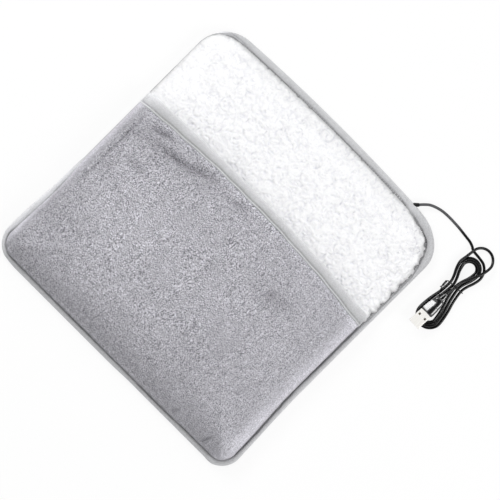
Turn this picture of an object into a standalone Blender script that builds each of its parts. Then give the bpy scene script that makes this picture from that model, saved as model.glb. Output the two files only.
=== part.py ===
"""A heated foot pouch with a USB cord, lying flat.

The pouch is a square pad with a pocket on it. The pocket's mouth faces +Y, its closed seam is at -Y, and the
pad lies on z = 0 with the origin under its middle. All lengths are in metres.

Soft layers are heights over a flat plan. The plan is a rounded rectangle, and inset_of() says how far inside
its edge a point lies. warp() then gives the sewn outline its flared corners and its bowed top edge. The back
layers and the front layers each share one net of points, so that they nest without touching.
"""

import math

import bmesh
import bpy
import numpy as np
from mathutils import Matrix, Vector

# Gaps
TOUCH_GAP = 0.0003  # between pieces that touch
SOFT_GAP = 0.0006  # between soft layers
CUT_OVERRUN = 0.003  # how far a cutter runs past what it cuts

# Pad outline
PAD_WIDTH = 0.2946
PAD_LENGTH = 0.304
CLOSED_CORNER_R = 0.022
OPEN_CORNER_R = 0.034
SIDE_FLARE = 0.0032  # how far each side swings out at the closed corners
FLARE_RUN = 0.107  # how far up from the closed edge the flare runs
TOP_BOW = 0.0055  # how far the top edge falls back at its ends
ROLL_POWER = 0.7  # a rolled edge levels out later as this grows

# Edge binding, a tape folded over the edge
TAPE_WIDTH = 0.008
TAPE_BASE_Z = 0.0014
TAPE_HEIGHT = 0.007
TAPE_WALL = 0.001
TAPE_ROUNDING = 0.0018
TAPE_CLEARANCE = 0.0006  # from the inside of the fold to the edges of the layers
CORNER_STATIONS = 6
SIDE_STATIONS = 10

# Back layers
BACK_PANEL_THICKNESS = 0.0026
BACK_WADDING_THICKNESS = 0.0035
BACK_LINING_THICKNESS = 0.0083
STITCHED_PANEL_THICKNESS = 0.0015
STITCHED_LINING_THICKNESS = 0.0025
UNDERSIDE_ROLL = 0.016  # from the tape to where the underside lies on the floor
BACK_CORE_ROLL = 0.018
BACK_CROWN_ROLL = 0.036
WADDING_EDGE_THICKNESS = 0.0008
WADDING_ROLL = 0.014

# Heater, a wire laid between two sheets
SHEET_THICKNESS = 0.0004
SHEET_SIDE_MARGIN = 0.0433  # from the pad's edges to the sheets
SHEET_CLOSED_MARGIN = 0.028
SHEET_OPEN_MARGIN = 0.076
SHEET_CORNER_R = 0.012
WIRE_D = 0.0018
WIRE_RUNS = 10
WIRE_SIDE_MARGIN = 0.005  # from the sides of the sheet to the outermost runs
WIRE_EDGE = 0.010  # from the end of the sheet to the outside of a bend
BEND_STEPS = 6

# Front layers
FRONT_INSET = 0.005  # the plush bulges over the tape to this far from the edge
FRONT_PANEL_THICKNESS = 0.0026
FRONT_WADDING_THICKNESS = 0.0025
FRONT_LINING_THICKNESS = 0.0064
FRONT_CROWN_ROLL = 0.048
POCKET_GAP = 0.0077  # between the linings inside the pocket
POCKET_GAP_RUN = 0.032
DOME = 0.002
DOME_RUN = 0.080

# Mouth of the pocket, and the band folded over it
POCKET_LENGTH = 0.2021  # from the closed edge to the mouth
MOUTH_SLANT = 0.0156  # how far the mouth edge falls for each metre of width
SLANT_BELOW_MOUTH = 0.0901  # where the slant starts
SLANT_RUN = 0.060
BAND_WIDTH = 0.0114
BAND_WALL = 0.0008
BAND_CLEARANCE = 0.00035
BAND_FOLD = 0.0033  # from the front of the fold to the edges of the layers
BAND_ROUNDING = 0.0030
SQUEEZED_HALF = 0.0029  # half the thickness of the layers inside the band
SQUEEZE_RUN = 0.0135  # how far the layers take to thin before the band
SQUEEZE_MARGIN = 0.0011  # from their thin stretch to the band

# Nets of points: shares of a crown's roll, and of the half width or half length
ROLL_SHARES = (0.075, 0.21, 0.41, 0.69, 1.05)
MIDDLE_SHARES = (0.45, 0.65)
MIDDLE_ROW_SHARES = (-0.5, -0.28, -0.05)
SQUEEZE_ROW_SHARE = 0.5
RING_SIDE_STATIONS = 7
SMALLEST_RING_R = 0.008

# Inner wiring
LEAD_D = 0.0014
SPLICE_D = 0.0026
SPLICE_LENGTH = 0.010
SPLICE_LIFT = 0.0043  # from the sheets to the splices
JOINT_SIZE = (0.012, 0.0056, 0.0034)
JOINT_FROM_EXIT = (-0.0515, -0.0370)
CUT_OUT_SIZE = (0.016, 0.006, 0.0030)
CUT_OUT_FROM_JOINT = (-0.0640, 0.0014)
BLOCK_ROUNDING = 0.0007
LEAD_OFFSET = 0.0014  # of each lead from the middle of the joint
LIVE_SAG = 0.0012
HEATER_LEAD_FROM_CUT_OUT = ((-0.0240, -0.0004), (-0.0540, -0.0044))
HEATER_LEAD_FROM_WIRE = (0.0085, 0.0207)
RETURN_LEAD_FROM_JOINT = (
    (-0.0115, -0.0035),
    (-0.0130, -0.0085),
    (-0.0080, -0.0120),
)
RETURN_LEAD_FROM_WIRE = ((-0.0390, 0.0187), (-0.0140, 0.0189))

# Cord, its sleeve in the seam and its way inside the pad
CORD_D = 0.0027
SLEEVE_D = 0.0044
SLEEVE_TIP_D = 0.0034
SLEEVE_INSIDE = 0.016
SLEEVE_OUTSIDE = 0.0045
SLEEVE_CLEARANCE = 0.0003
EXIT_MARGINS = (0.0478, 0.0030)  # from the pad's side and from its open edge
EXIT_ANGLE = math.radians(48.7)  # from +X towards +Y
FLOOR_LIFT = 0.00005
INNER_ROUTE_FROM_EXIT = (
    (-0.0175, -0.0195, 0.0064),
    (-0.0240, -0.0260, 0.0078),
    (-0.0315, -0.0325, 0.0083),
    (-0.0385, -0.0364, 0.0083),
)
CORD_ROUTE_FROM_EXIT = (
    (0.0095, 0.0098, 0.0042),
    (0.0141, 0.0121, 0.0032),
    (0.0191, 0.0137, 0.0023),
    (0.0243, 0.0146, 0.0017),
    (0.0310, 0.0149, 0.0014),
    (0.0381, 0.0147, 0.0014),
    (0.0445, 0.0143, 0.0014),
    (0.0504, 0.0136, 0.0014),
    (0.0555, 0.0130, 0.0014),
    (0.0603, 0.0123, 0.0014),
    (0.0647, 0.0107, 0.0014),
    (0.0683, 0.0087, 0.0014),
)
ROUTE_STEP = 2.5 * CORD_D
CORD_RESOLUTION = 2
LOOP_RESOLUTION = 1

# Hank: loops pinched at a waist, in two layers, with one loose loop on top
HANK_FROM_EXIT = (0.0790, -0.0267)
HANK_TURN = math.radians(3.5)
HANK_LAYER = CORD_D + 0.00046
HANK_TURNS_DOWN = 2  # turns that spiral in on the floor
HANK_TURNS = 3.875
LOOP_STEPS = 24
ARC_STEPS = 3  # in a quarter of a loop's end
RUN_STEPS = 6
LOOP_HALF_WIDTH = 0.0068
LOOP_STEP = 0.00345
WAIST_HALF = 0.0013
WAIST_STEP = 0.0035
TURN_DIP = 0.75  # how far the spiral dips below its innermost loop where it turns, in steps
UP_CENTRE = 0.0209
DOWN_CENTRE = 0.0348
WAIST_LIFT = 0.0013
WAIST_LIFT_REACH = 0.020
LOOSE_CENTRE = (0.0022, 0.0340)
LOOSE_R = 0.0112
LOOSE_DROP = 0.00465
LOOSE_CLIMBED_Y = 0.024
LOOSE_RUN_STEPS = 2
LEAD_WAIST_X = 0.0012
LEAD_SHARES = (0.5, 0.25, 0)
GAP_SAMPLE = 0.0004

# Wire tie round the waist
TIE_D = 0.0009
TIE_CLEARANCE = 0.0004
TIE_TWIST_R = 0.00075
TIE_TWIST_TURNS = 2
TIE_TWIST_LENGTH = 0.0055
TIE_TWIST_STEPS = 8
TIE_SHORT_TAIL = 0.0025
TIE_TAIL = ((-0.0086, -0.0088, 0.0064), (-0.0076, -0.0122, 0.0075), (-0.0061, -0.0152, 0.0071))
TIE_KNOT_OUT = 0.0011
TIE_BEND_SHARES = (0, 0.5, 1)

# USB plug: mouldings and shell, each measured from where they meet
PLUG_FROM_EXIT = (0.0774, -0.0622)
PLUG_TURN = math.radians(177)
MOULD_LENGTH = 0.0180
MOULD_WIDTH = 0.0132
MOULD_HEIGHT = 0.0072
NECK_LENGTH = 0.0064
NECK_D = 0.0054
NECK_TIP_D = 0.0044
SHELL_LENGTH = 0.0155
SHELL_WIDTH = 0.0120
SHELL_HEIGHT = 0.0045
SHELL_WALL = 0.0003
SHELL_CORNER_R = 0.0007
WINDOW_SIZE = 0.0021
WINDOW_SPACING = 0.0070
WINDOW_PLACE = 0.0048
TONGUE_WIDTH = 0.0107
TONGUE_HEIGHT = 0.0018
TONGUE_SETBACK = 0.0012
CONTACT_WIDTH = 0.0010
CONTACT_HEIGHT = 0.00025
CONTACT_LENGTH = 0.0084
CONTACT_SPACING = 0.0023
CONTACT_SETBACK = 0.0012
ROUND_SIDES = 12

# Worked out from the sizes above
HALF_WIDTH = PAD_WIDTH / 2
HALF_LENGTH = PAD_LENGTH / 2
TAPE_INSIDE = TAPE_WIDTH + TOUCH_GAP
BACK_INSET = TAPE_WALL + TAPE_CLEARANCE
STITCH_LOW_Z = TAPE_BASE_Z + TAPE_WALL + TOUCH_GAP
STITCH_PANEL_TOP_Z = STITCH_LOW_Z + STITCHED_PANEL_THICKNESS
STITCH_LINING_LOW_Z = STITCH_PANEL_TOP_Z + TOUCH_GAP
STITCH_LINING_TOP_Z = STITCH_LINING_LOW_Z + STITCHED_LINING_THICKNESS
BACK_WADDING_TOP_Z = BACK_PANEL_THICKNESS + TOUCH_GAP + BACK_WADDING_THICKNESS
BASE_SHEET_Z = BACK_WADDING_TOP_Z + TOUCH_GAP
WIRE_Z = BASE_SHEET_Z + SHEET_THICKNESS + TOUCH_GAP + WIRE_D / 2
COVER_SHEET_Z = WIRE_Z + WIRE_D / 2 + TOUCH_GAP
BACK_LINING_LOW_Z = COVER_SHEET_Z + SHEET_THICKNESS + TOUCH_GAP
BACK_LINING_TOP_Z = BACK_LINING_LOW_Z + BACK_LINING_THICKNESS
SEAT_Z = TAPE_BASE_Z + TAPE_HEIGHT + TOUCH_GAP
SEAM_Z = TAPE_BASE_Z + TAPE_HEIGHT / 2
FRONT_LINING_LOW_Z = BACK_LINING_TOP_Z + SOFT_GAP + POCKET_GAP
FRONT_LINING_TOP_Z = FRONT_LINING_LOW_Z + FRONT_LINING_THICKNESS
FRONT_WADDING_LOW_Z = FRONT_LINING_TOP_Z + SOFT_GAP
FRONT_PANEL_LOW_Z = FRONT_WADDING_LOW_Z + FRONT_WADDING_THICKNESS + SOFT_GAP
FRONT_PANEL_TOP_Z = FRONT_PANEL_LOW_Z + FRONT_PANEL_THICKNESS
MOUTH_Y = POCKET_LENGTH - HALF_LENGTH
SLANT_START_Y = MOUTH_Y - SLANT_BELOW_MOUTH
SHEET_HALF_WIDTH = HALF_WIDTH - SHEET_SIDE_MARGIN
SHEET_LOW_Y = SHEET_CLOSED_MARGIN - HALF_LENGTH
SHEET_HIGH_Y = HALF_LENGTH - SHEET_OPEN_MARGIN
WIRE_SPACING = 2 * (SHEET_HALF_WIDTH - WIRE_SIDE_MARGIN) / (WIRE_RUNS - 1)
EXIT_PLACE = (HALF_WIDTH - EXIT_MARGINS[0], HALF_LENGTH - EXIT_MARGINS[1])
HINGE_PLACE = Vector((0, FRONT_INSET - HALF_LENGTH, SEAT_Z - TOUCH_GAP / 2))
CORD_FLOOR_Z = CORD_D / 2 + FLOOR_LIFT


def beside(anchor, offset):
    """A place so far from another. It keeps the offset's own height, where it has one."""
    return (anchor[0] + offset[0], anchor[1] + offset[1], *offset[2:])


def smooth(t):
    """From 0 to 1, level at both ends."""
    t = np.clip(t, 0, 1)
    return t * t * (3 - 2 * t)


def roll(t):
    """How far a rolled edge has risen: 0 at the edge, where it stands up, and 1 where it is level."""
    t = np.clip(t, 0, 1)
    return (1 - (1 - t) ** 2) ** ROLL_POWER


def bell(t):
    """1 in the middle, and 0 from 1 outwards."""
    return np.cos(np.clip(np.abs(t), 0, 1) * math.pi / 2) ** 2


# Plan of the pad


def inset_of(x, y):
    """How far a point of the flat plan lies inside the edge."""
    corner = np.where(y < 0, CLOSED_CORNER_R, OPEN_CORNER_R)
    over_x = np.abs(x) - (HALF_WIDTH - corner)
    over_y = np.abs(y) - (HALF_LENGTH - corner)
    beyond = np.hypot(np.maximum(over_x, 0), np.maximum(over_y, 0))
    return corner - beyond - np.minimum(np.maximum(over_x, over_y), 0)


def half_width_at(y, inset):
    """Half the width of the plan at y, drawn in by inset all round."""
    corner = (CLOSED_CORNER_R if y < 0 else OPEN_CORNER_R) - inset
    over = abs(y) - (HALF_LENGTH - inset - corner)
    straight = HALF_WIDTH - inset
    if over <= 0:
        return straight
    return straight - corner + math.sqrt(max(corner**2 - over**2, 0))


def warp(x, y):
    """The sewn outline: flared at the closed corners, with a bowed top edge."""
    flare = smooth((FLARE_RUN - HALF_LENGTH - y) / FLARE_RUN)
    bow = np.clip(y / HALF_LENGTH, 0, 1) ** 2 * (x / HALF_WIDTH) ** 2
    return x * (1 + SIDE_FLARE / HALF_WIDTH * flare), y - TOP_BOW * bow


def slanted(x, y):
    """The front layers' plan, whose mouth edge slants."""
    return x, y - MOUTH_SLANT * x * smooth((y - SLANT_START_Y) / SLANT_RUN)


def inner_levels():
    """How far in from the edge the nets have their inner lines, closer where the crown rolls."""
    rolled = [TAPE_INSIDE + share * BACK_CROWN_ROLL for share in ROLL_SHARES]
    return rolled + [share * HALF_WIDTH for share in MIDDLE_SHARES]


def net(inset, levels, rows):
    """Rows of plan points whose outer line lies inset inside the edge. Levels are insets along the sides."""
    reach = HALF_WIDTH - inset
    right = [1 - (level - inset) / reach for level in reversed(levels)]
    shares = np.array([-share for share in reversed(right)] + [0] + right)
    return np.array([[(half_width_at(y, inset) * share, y) for share in shares] for y in rows])


def front_net():
    levels = [FRONT_INSET, FRONT_INSET + FRONT_PANEL_THICKNESS] + inner_levels()
    near = [level - HALF_LENGTH for level in levels[: 2 + len(ROLL_SHARES)]]
    middle = [share * HALF_LENGTH for share in MIDDLE_ROW_SHARES]
    thin_y = MOUTH_Y - BAND_WIDTH - SQUEEZE_MARGIN
    squeeze = [thin_y - SQUEEZE_RUN, thin_y - SQUEEZE_RUN * SQUEEZE_ROW_SHARE, thin_y]
    return net(FRONT_INSET, levels, near + middle + squeeze + [MOUTH_Y - BAND_FOLD])


# Heights of the layers' faces over the plan, from their inset


def back_panel_low(inset):
    return STITCH_LOW_Z * (1 - smooth((inset - TAPE_INSIDE) / UNDERSIDE_ROLL))


def back_panel_top(inset):
    rolled = smooth((inset - TAPE_INSIDE) / UNDERSIDE_ROLL)
    return STITCH_PANEL_TOP_Z + (BACK_PANEL_THICKNESS - STITCH_PANEL_TOP_Z) * rolled


def back_wadding_low(inset):
    return back_panel_top(inset) + TOUCH_GAP


def back_wadding_top(inset):
    swell = smooth((inset - TAPE_INSIDE) / WADDING_ROLL)
    thickness = WADDING_EDGE_THICKNESS + (BACK_WADDING_THICKNESS - WADDING_EDGE_THICKNESS) * swell
    return back_wadding_low(inset) + thickness


def back_lining_low(inset):
    rise = BACK_LINING_LOW_Z - STITCH_LINING_LOW_Z
    return STITCH_LINING_LOW_Z + rise * roll((inset - TAPE_INSIDE) / BACK_CORE_ROLL)


def back_lining_top(inset):
    rise = BACK_LINING_TOP_Z - STITCH_LINING_TOP_Z
    return STITCH_LINING_TOP_Z + rise * roll((inset - TAPE_INSIDE) / BACK_CROWN_ROLL)


def front_panel_top(inset):
    edge = SEAT_Z + FRONT_PANEL_THICKNESS
    return edge + (FRONT_PANEL_TOP_Z - edge) * roll((inset - FRONT_INSET) / FRONT_CROWN_ROLL)


def front_panel_low(inset):
    start = FRONT_INSET + FRONT_PANEL_THICKNESS
    length = FRONT_CROWN_ROLL - FRONT_PANEL_THICKNESS
    return SEAT_Z + (FRONT_PANEL_LOW_Z - SEAT_Z) * roll((inset - start) / length)


def front_wadding_top(inset):
    return front_panel_low(inset) - SOFT_GAP


def front_wadding_low(inset):
    start = FRONT_INSET + FRONT_PANEL_THICKNESS + FRONT_WADDING_THICKNESS
    length = FRONT_CROWN_ROLL - FRONT_PANEL_THICKNESS - FRONT_WADDING_THICKNESS
    rolled = SEAT_Z + (FRONT_WADDING_LOW_Z - SEAT_Z) * roll((inset - start) / length)
    return np.maximum(rolled, pocket_floor(inset))


def front_lining_top(inset):
    return front_wadding_low(inset) - SOFT_GAP


def pocket_floor(inset):
    """The lowest that a front layer comes: on the tape, or just over the back lining."""
    return np.maximum(SEAT_Z, back_lining_top(inset) + SOFT_GAP)


def front_lining_low(inset):
    start = TAPE_INSIDE + ROLL_SHARES[1] * BACK_CROWN_ROLL
    return pocket_floor(inset) + POCKET_GAP * smooth((inset - start) / POCKET_GAP_RUN)


def dome(x, y):
    across = 1 - (x / HALF_WIDTH) ** 2
    return DOME * across * smooth((y + HALF_LENGTH) / DOME_RUN)


def squeezed(inset):
    """The middle height and half thickness of the front layers inside the band, and their middle and share before."""
    low, top = front_lining_low(inset), front_panel_top(inset)
    half = (top - low) / 2
    share = np.minimum(1, SQUEEZED_HALF / half)
    middle = np.maximum(low + half, low + half * share + BAND_CLEARANCE + BAND_WALL)
    return middle, half * share, low + half, share


def front_height(face, plan):
    """The height of one face of a front layer over the plan, thinned towards the mouth."""
    x, y = plan[..., 0], plan[..., 1]
    inset = inset_of(x, y)
    middle, _, before, share = squeezed(inset)
    start = MOUTH_Y - BAND_WIDTH - SQUEEZE_MARGIN - SQUEEZE_RUN
    plain = face(inset)
    thin = middle + (plain - before) * share
    return plain + (thin - plain) * smooth((y - start) / SQUEEZE_RUN) + dome(x, y)


# Building meshes


def new_object(name, data, material):
    made = bpy.data.objects.new(name, data)
    data.materials.append(material)
    bpy.context.scene.collection.objects.link(made)
    return made


def mesh_object(name, points, faces, material):
    mesh = bpy.data.meshes.new(name)
    mesh.from_pydata([tuple(map(float, p)) for p in points], [], faces)
    work = bmesh.new()
    work.from_mesh(mesh)
    bmesh.ops.recalc_face_normals(work, faces=work.faces)
    work.to_mesh(mesh)
    work.free()
    mesh.shade_smooth()
    mesh.set_sharp_from_angle(angle=math.radians(40))
    return new_object(name, mesh, material)


def layer(name, plan, low, top, material):
    """A closed soft layer over a net of plan points, between two grids of heights."""
    rows, columns = plan.shape[:2]
    x, y = warp(plan[..., 0], plan[..., 1])
    count = rows * columns
    points = [(x.flat[i], y.flat[i], heights.flat[i]) for heights in (top, low) for i in range(count)]
    faces = []
    for r in range(rows - 1):
        for c in range(columns - 1):
            a = r * columns + c
            b, d, e = a + 1, a + columns, a + columns + 1
            # the diagonals mirror about the middle line
            halves = ((a, b, e), (a, e, d)) if c < columns // 2 else ((a, b, d), (b, e, d))
            for half in halves:
                faces.append(half)
                faces.append(tuple(count + i for i in reversed(half)))
    edge = [c for c in range(columns)]
    edge += [r * columns + columns - 1 for r in range(1, rows)]
    edge += [(rows - 1) * columns + c for c in range(columns - 2, -1, -1)]
    edge += [r * columns for r in range(rows - 2, 0, -1)]
    for a, b in zip(edge, edge[1:] + edge[:1]):
        faces.append((count + a, count + b, b))
        faces.append((count + a, b, a))
    return mesh_object(name, points, faces, material)


def loft(name, sections, material, closed=False):
    """A body through rings of points. It closes on itself, or else its first and last rings are capped."""
    size = len(sections[0])
    points = [p for section in sections for p in section]
    faces = []
    for i in range(len(sections) if closed else len(sections) - 1):
        near, far = i * size, (i + 1) % len(sections) * size
        for j in range(size):
            k = (j + 1) % size
            faces.append((near + j, near + k, far + k, far + j))
    if not closed:
        faces.append(tuple(range(size - 1, -1, -1)))
        faces.append(tuple(range(len(points) - size, len(points))))
    return mesh_object(name, points, faces, material)


def ring_frames(route):
    """Two directions square to the route at each of its points, carried along without twisting."""
    route = [Vector(p) for p in route]
    ahead = [(b - a).normalized() for a, b in zip(route, route[1:])]
    tangents = [ahead[0]] + [(a + b).normalized() for a, b in zip(ahead, ahead[1:])] + [ahead[-1]]
    side = tangents[0].orthogonal().normalized()
    frames = []
    for tangent in tangents:
        side = (side - tangent * side.dot(tangent)).normalized()
        frames.append((side, tangent.cross(side)))
    return frames


def tube(name, route, radii, material, sides=ROUND_SIDES):
    """A solid round bar along a route, with a radius at each of its points."""
    sections = []
    for place, radius, (side, up) in zip(route, radii, ring_frames(route)):
        angles = [2 * math.pi * i / sides for i in range(sides)]
        ring = [Vector(place) + radius * (side * math.cos(a) + up * math.sin(a)) for a in angles]
        sections.append(ring)
    return loft(name, sections, material)


def wire(name, route, diameter, material, resolution=CORD_RESOLUTION):
    """A cord or wire: a round bevel along a polyline, with filled ends."""
    curve = bpy.data.curves.new(name, "CURVE")
    curve.dimensions = "3D"
    curve.bevel_depth = diameter / 2
    curve.bevel_resolution = resolution
    curve.use_fill_caps = True
    spline = curve.splines.new("POLY")
    spline.points.add(len(route) - 1)
    for point, place in zip(spline.points, route):
        point.co = (*place, 1)
    return new_object(name, curve, material)


def block(name, size, place, material, rounding=BLOCK_ROUNDING):
    """A box with rounded edges."""
    work = bmesh.new()
    bmesh.ops.create_cube(work, size=1)
    bmesh.ops.scale(work, vec=size, verts=work.verts)
    if rounding:
        bmesh.ops.bevel(work, geom=work.edges[:], offset=rounding, segments=2, profile=0.5, affect="EDGES")
    bmesh.ops.translate(work, vec=place, verts=work.verts)
    mesh = bpy.data.meshes.new(name)
    work.to_mesh(mesh)
    work.free()
    mesh.shade_smooth()
    mesh.set_sharp_from_angle(angle=math.radians(40))
    return new_object(name, mesh, material)


def cut(target, cutter):
    """Cuts one solid from another, and keeps the cutter only as a guide."""
    cutter.hide_render = True
    cutter.display_type = "WIRE"
    modifier = target.modifiers.new("cut", "BOOLEAN")
    modifier.operation = "DIFFERENCE"
    modifier.object = cutter


def put_origin(made, place):
    made.data.transform(Matrix.Translation(-place))
    made.location = place


def smooth_route(places, step):
    """Points at about equal steps along a smooth curve through the places. The first and last spans are straight."""
    places = np.array(places, float)
    middle = places[1:-1]
    chords = np.linalg.norm(np.diff(middle, axis=0), axis=1)
    at = np.concatenate([[0], np.cumsum(chords)])
    slopes = np.gradient(middle, at, axis=0)
    for end, (before, after) in ((0, places[:2]), (-1, places[-2:])):
        slopes[end] = (after - before) / np.linalg.norm(after - before)
    found = [places[0]]
    for s in np.linspace(0, at[-1], max(2, round(at[-1] / step)) + 1):
        i = min(int(np.searchsorted(at, s, side="right")) - 1, len(chords) - 1)
        t = (s - at[i]) / chords[i]
        a, b = middle[i], middle[i + 1]
        start, end = slopes[i] * chords[i], slopes[i + 1] * chords[i]
        bend = a * (2 * t**3 - 3 * t**2 + 1) + b * (3 * t**2 - 2 * t**3)
        found.append(bend + start * (t**3 - 2 * t**2 + t) + end * (t**3 - t**2))
    return [tuple(map(float, p)) for p in found + [places[-1]]]


def material(name, colour, roughness, metallic=0.0):
    made = bpy.data.materials.new(name)
    made.use_nodes = True
    shader = made.node_tree.nodes["Principled BSDF"]
    shader.inputs["Base Color"].default_value = (*colour, 1)
    shader.inputs["Roughness"].default_value = roughness
    shader.inputs["Metallic"].default_value = metallic
    made.diffuse_color = (*colour, 1)
    return made


# Soft pieces


def back_layers(plush, sherpa, wadding):
    levels = [BACK_INSET, TAPE_INSIDE] + inner_levels()[: len(ROLL_SHARES)]
    made = []
    for name, first, low, top, fabric in (
        ("back_panel", 0, back_panel_low, back_panel_top, plush),
        ("back_wadding", 2, back_wadding_low, back_wadding_top, wadding),
        ("back_lining", 0, back_lining_low, back_lining_top, sherpa),
    ):
        sections = [[(x, y, float(low(inset))) for x, y in ring_at(inset)] for inset in reversed(levels[first:])]
        sections += [[(x, y, float(top(inset))) for x, y in ring_at(inset)] for inset in levels[first:]]
        made.append(loft(name, sections, fabric))
    return made


def front_layers(plush, sherpa, wadding):
    made = []
    for name, first, low, top, fabric in (
        ("front_panel", 0, front_panel_low, front_panel_top, plush),
        ("front_wadding", 2, front_wadding_low, front_wadding_top, wadding),
        ("front_lining", 3, front_lining_low, front_lining_top, sherpa),
    ):
        plan = front_net()
        plan = plan[first:, first : plan.shape[1] - first]
        heights = [front_height(face, plan) for face in (low, top)]
        sewn = np.stack(slanted(plan[..., 0], plan[..., 1]), axis=-1)
        made.append(layer(name, sewn, *heights, fabric))
    return made


def mouth_binding(tape):
    """The band folded over the mouth edge of the front layers, over the whole width of the front panel."""
    sections = []
    for x, _ in front_net()[-1]:
        middle, half, _, _ = squeezed(inset_of(x, np.float64(MOUTH_Y)))
        middle = float(middle + dome(x, MOUTH_Y))
        inner = float(half) + BAND_CLEARANCE
        outer = inner + BAND_WALL
        start, bend = MOUTH_Y - BAND_WIDTH, MOUTH_Y - BAND_ROUNDING
        fold = MOUTH_Y - BAND_WALL
        nose = MOUTH_Y - BAND_ROUNDING / 4
        profile = [
            (start, outer),
            (bend, outer),
            (nose, outer * 0.6),
            (MOUTH_Y, 0),
            (nose, -outer * 0.6),
            (bend, -outer),
            (start, -outer),
            (start, -inner),
            (bend, -inner),
            (fold - BAND_ROUNDING / 4, -inner * 0.6),
            (fold, 0),
            (fold - BAND_ROUNDING / 4, inner * 0.6),
            (bend, inner),
            (start, inner),
        ]
        ring = []
        for y, height in profile:
            sewn_x, sewn_y = warp(*slanted(np.float64(x), np.float64(y)))
            ring.append((float(sewn_x), float(sewn_y), middle + height))
        sections.append(ring)
    return loft("mouth_binding", sections, tape)


def outline_stations(inset, sides):
    """Places along the pad's edge, or a line inside it, each with the direction that points inwards."""
    found = []
    corners = (
        (1, -1, CLOSED_CORNER_R, -90),
        (1, 1, OPEN_CORNER_R, 0),
        (-1, 1, OPEN_CORNER_R, 90),
        (-1, -1, CLOSED_CORNER_R, 180),
    )
    arcs = []
    for sign_x, sign_y, corner, start in corners:
        radius = max(corner - inset, SMALLEST_RING_R)
        reach = inset + radius
        centre = np.array([sign_x * (HALF_WIDTH - reach), sign_y * (HALF_LENGTH - reach)])
        angles = [math.radians(start + 90 * step / CORNER_STATIONS) for step in range(CORNER_STATIONS + 1)]
        outwards = [np.array([math.cos(angle), math.sin(angle)]) for angle in angles]
        arcs.append([(centre + radius * outward, -outward) for outward in outwards])
    for arc, following in zip(arcs, arcs[1:] + arcs[:1]):
        found += arc
        (begin, inward), end = arc[-1], following[0][0]
        found += [(begin + (end - begin) * step / sides, inward) for step in range(1, sides)]
    return found


def ring_at(inset):
    """A closed line of sewn points at one inset."""
    return [tuple(map(float, warp(*place))) for place, _ in outline_stations(inset, RING_SIDE_STATIONS)]


def edge_binding(tape):
    """The tape folded over the edges of the back layers, all round the pad."""
    low, high = TAPE_BASE_Z, TAPE_BASE_Z + TAPE_HEIGHT
    chamfer = TAPE_ROUNDING * (1 - math.sqrt(0.5))
    profile = (
        (TAPE_WIDTH, low),
        (TAPE_ROUNDING, low),
        (chamfer, low + chamfer),
        (0, low + TAPE_ROUNDING),
        (0, high - TAPE_ROUNDING),
        (chamfer, high - chamfer),
        (TAPE_ROUNDING, high),
        (TAPE_WIDTH, high),
        (TAPE_WIDTH, high - TAPE_WALL),
        (TAPE_WALL, high - TAPE_WALL),
        (TAPE_WALL, low + TAPE_WALL),
        (TAPE_WIDTH, low + TAPE_WALL),
    )
    sections = []
    for edge, inward in outline_stations(0, SIDE_STATIONS):
        ring = []
        for inset, height in profile:
            sewn_x, sewn_y = warp(*(edge + inward * inset))
            ring.append((float(sewn_x), float(sewn_y), height))
        sections.append(ring)
    return loft("edge_binding", sections, tape, closed=True)


# Heater and its wiring


def heater_sheet(name, low_z, fleece):
    """A flat sheet with rounded corners."""
    low, high = SHEET_LOW_Y + SHEET_CORNER_R, SHEET_HIGH_Y - SHEET_CORNER_R
    across = SHEET_HALF_WIDTH - SHEET_CORNER_R
    ring = []
    for centre, start in (((across, low), -90), ((across, high), 0), ((-across, high), 90), ((-across, low), 180)):
        for step in range(CORNER_STATIONS + 1):
            angle = math.radians(start + 90 * step / CORNER_STATIONS)
            ring.append(
                (centre[0] + SHEET_CORNER_R * math.cos(angle), centre[1] + SHEET_CORNER_R * math.sin(angle))
            )
    return loft(name, [[(x, y, z) for x, y in ring] for z in (low_z, low_z + SHEET_THICKNESS)], fleece)


def wire_ends():
    """The plan places of the heating wire's two ends."""
    reach = WIRE_SPACING * (WIRE_RUNS - 1) / 2
    end_y = SHEET_HIGH_Y + SPLICE_LIFT
    return (-reach, end_y), (reach, end_y)


def heating_wire(carbon):
    """Runs to and fro along the pad, joined by round bends."""
    radius = WIRE_SPACING / 2
    low, high = SHEET_LOW_Y + WIRE_EDGE + radius, SHEET_HIGH_Y - WIRE_EDGE - radius
    (x, end_y), (_, _) = wire_ends()
    route = [(x, end_y)]
    for run in range(WIRE_RUNS - 1):
        down = run % 2 == 0
        centre_y = low if down else high
        for step in range(BEND_STEPS + 1):
            angle = math.pi * step / BEND_STEPS
            away = -math.sin(angle) if down else math.sin(angle)
            route.append((x + radius - radius * math.cos(angle), centre_y + radius * away))
        x += WIRE_SPACING
    route.append((x, end_y))
    return wire("heating_wire", [(*p, WIRE_Z) for p in route], WIRE_D, carbon, LOOP_RESOLUTION)


def joint_place():
    return beside(EXIT_PLACE, JOINT_FROM_EXIT)


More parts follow.
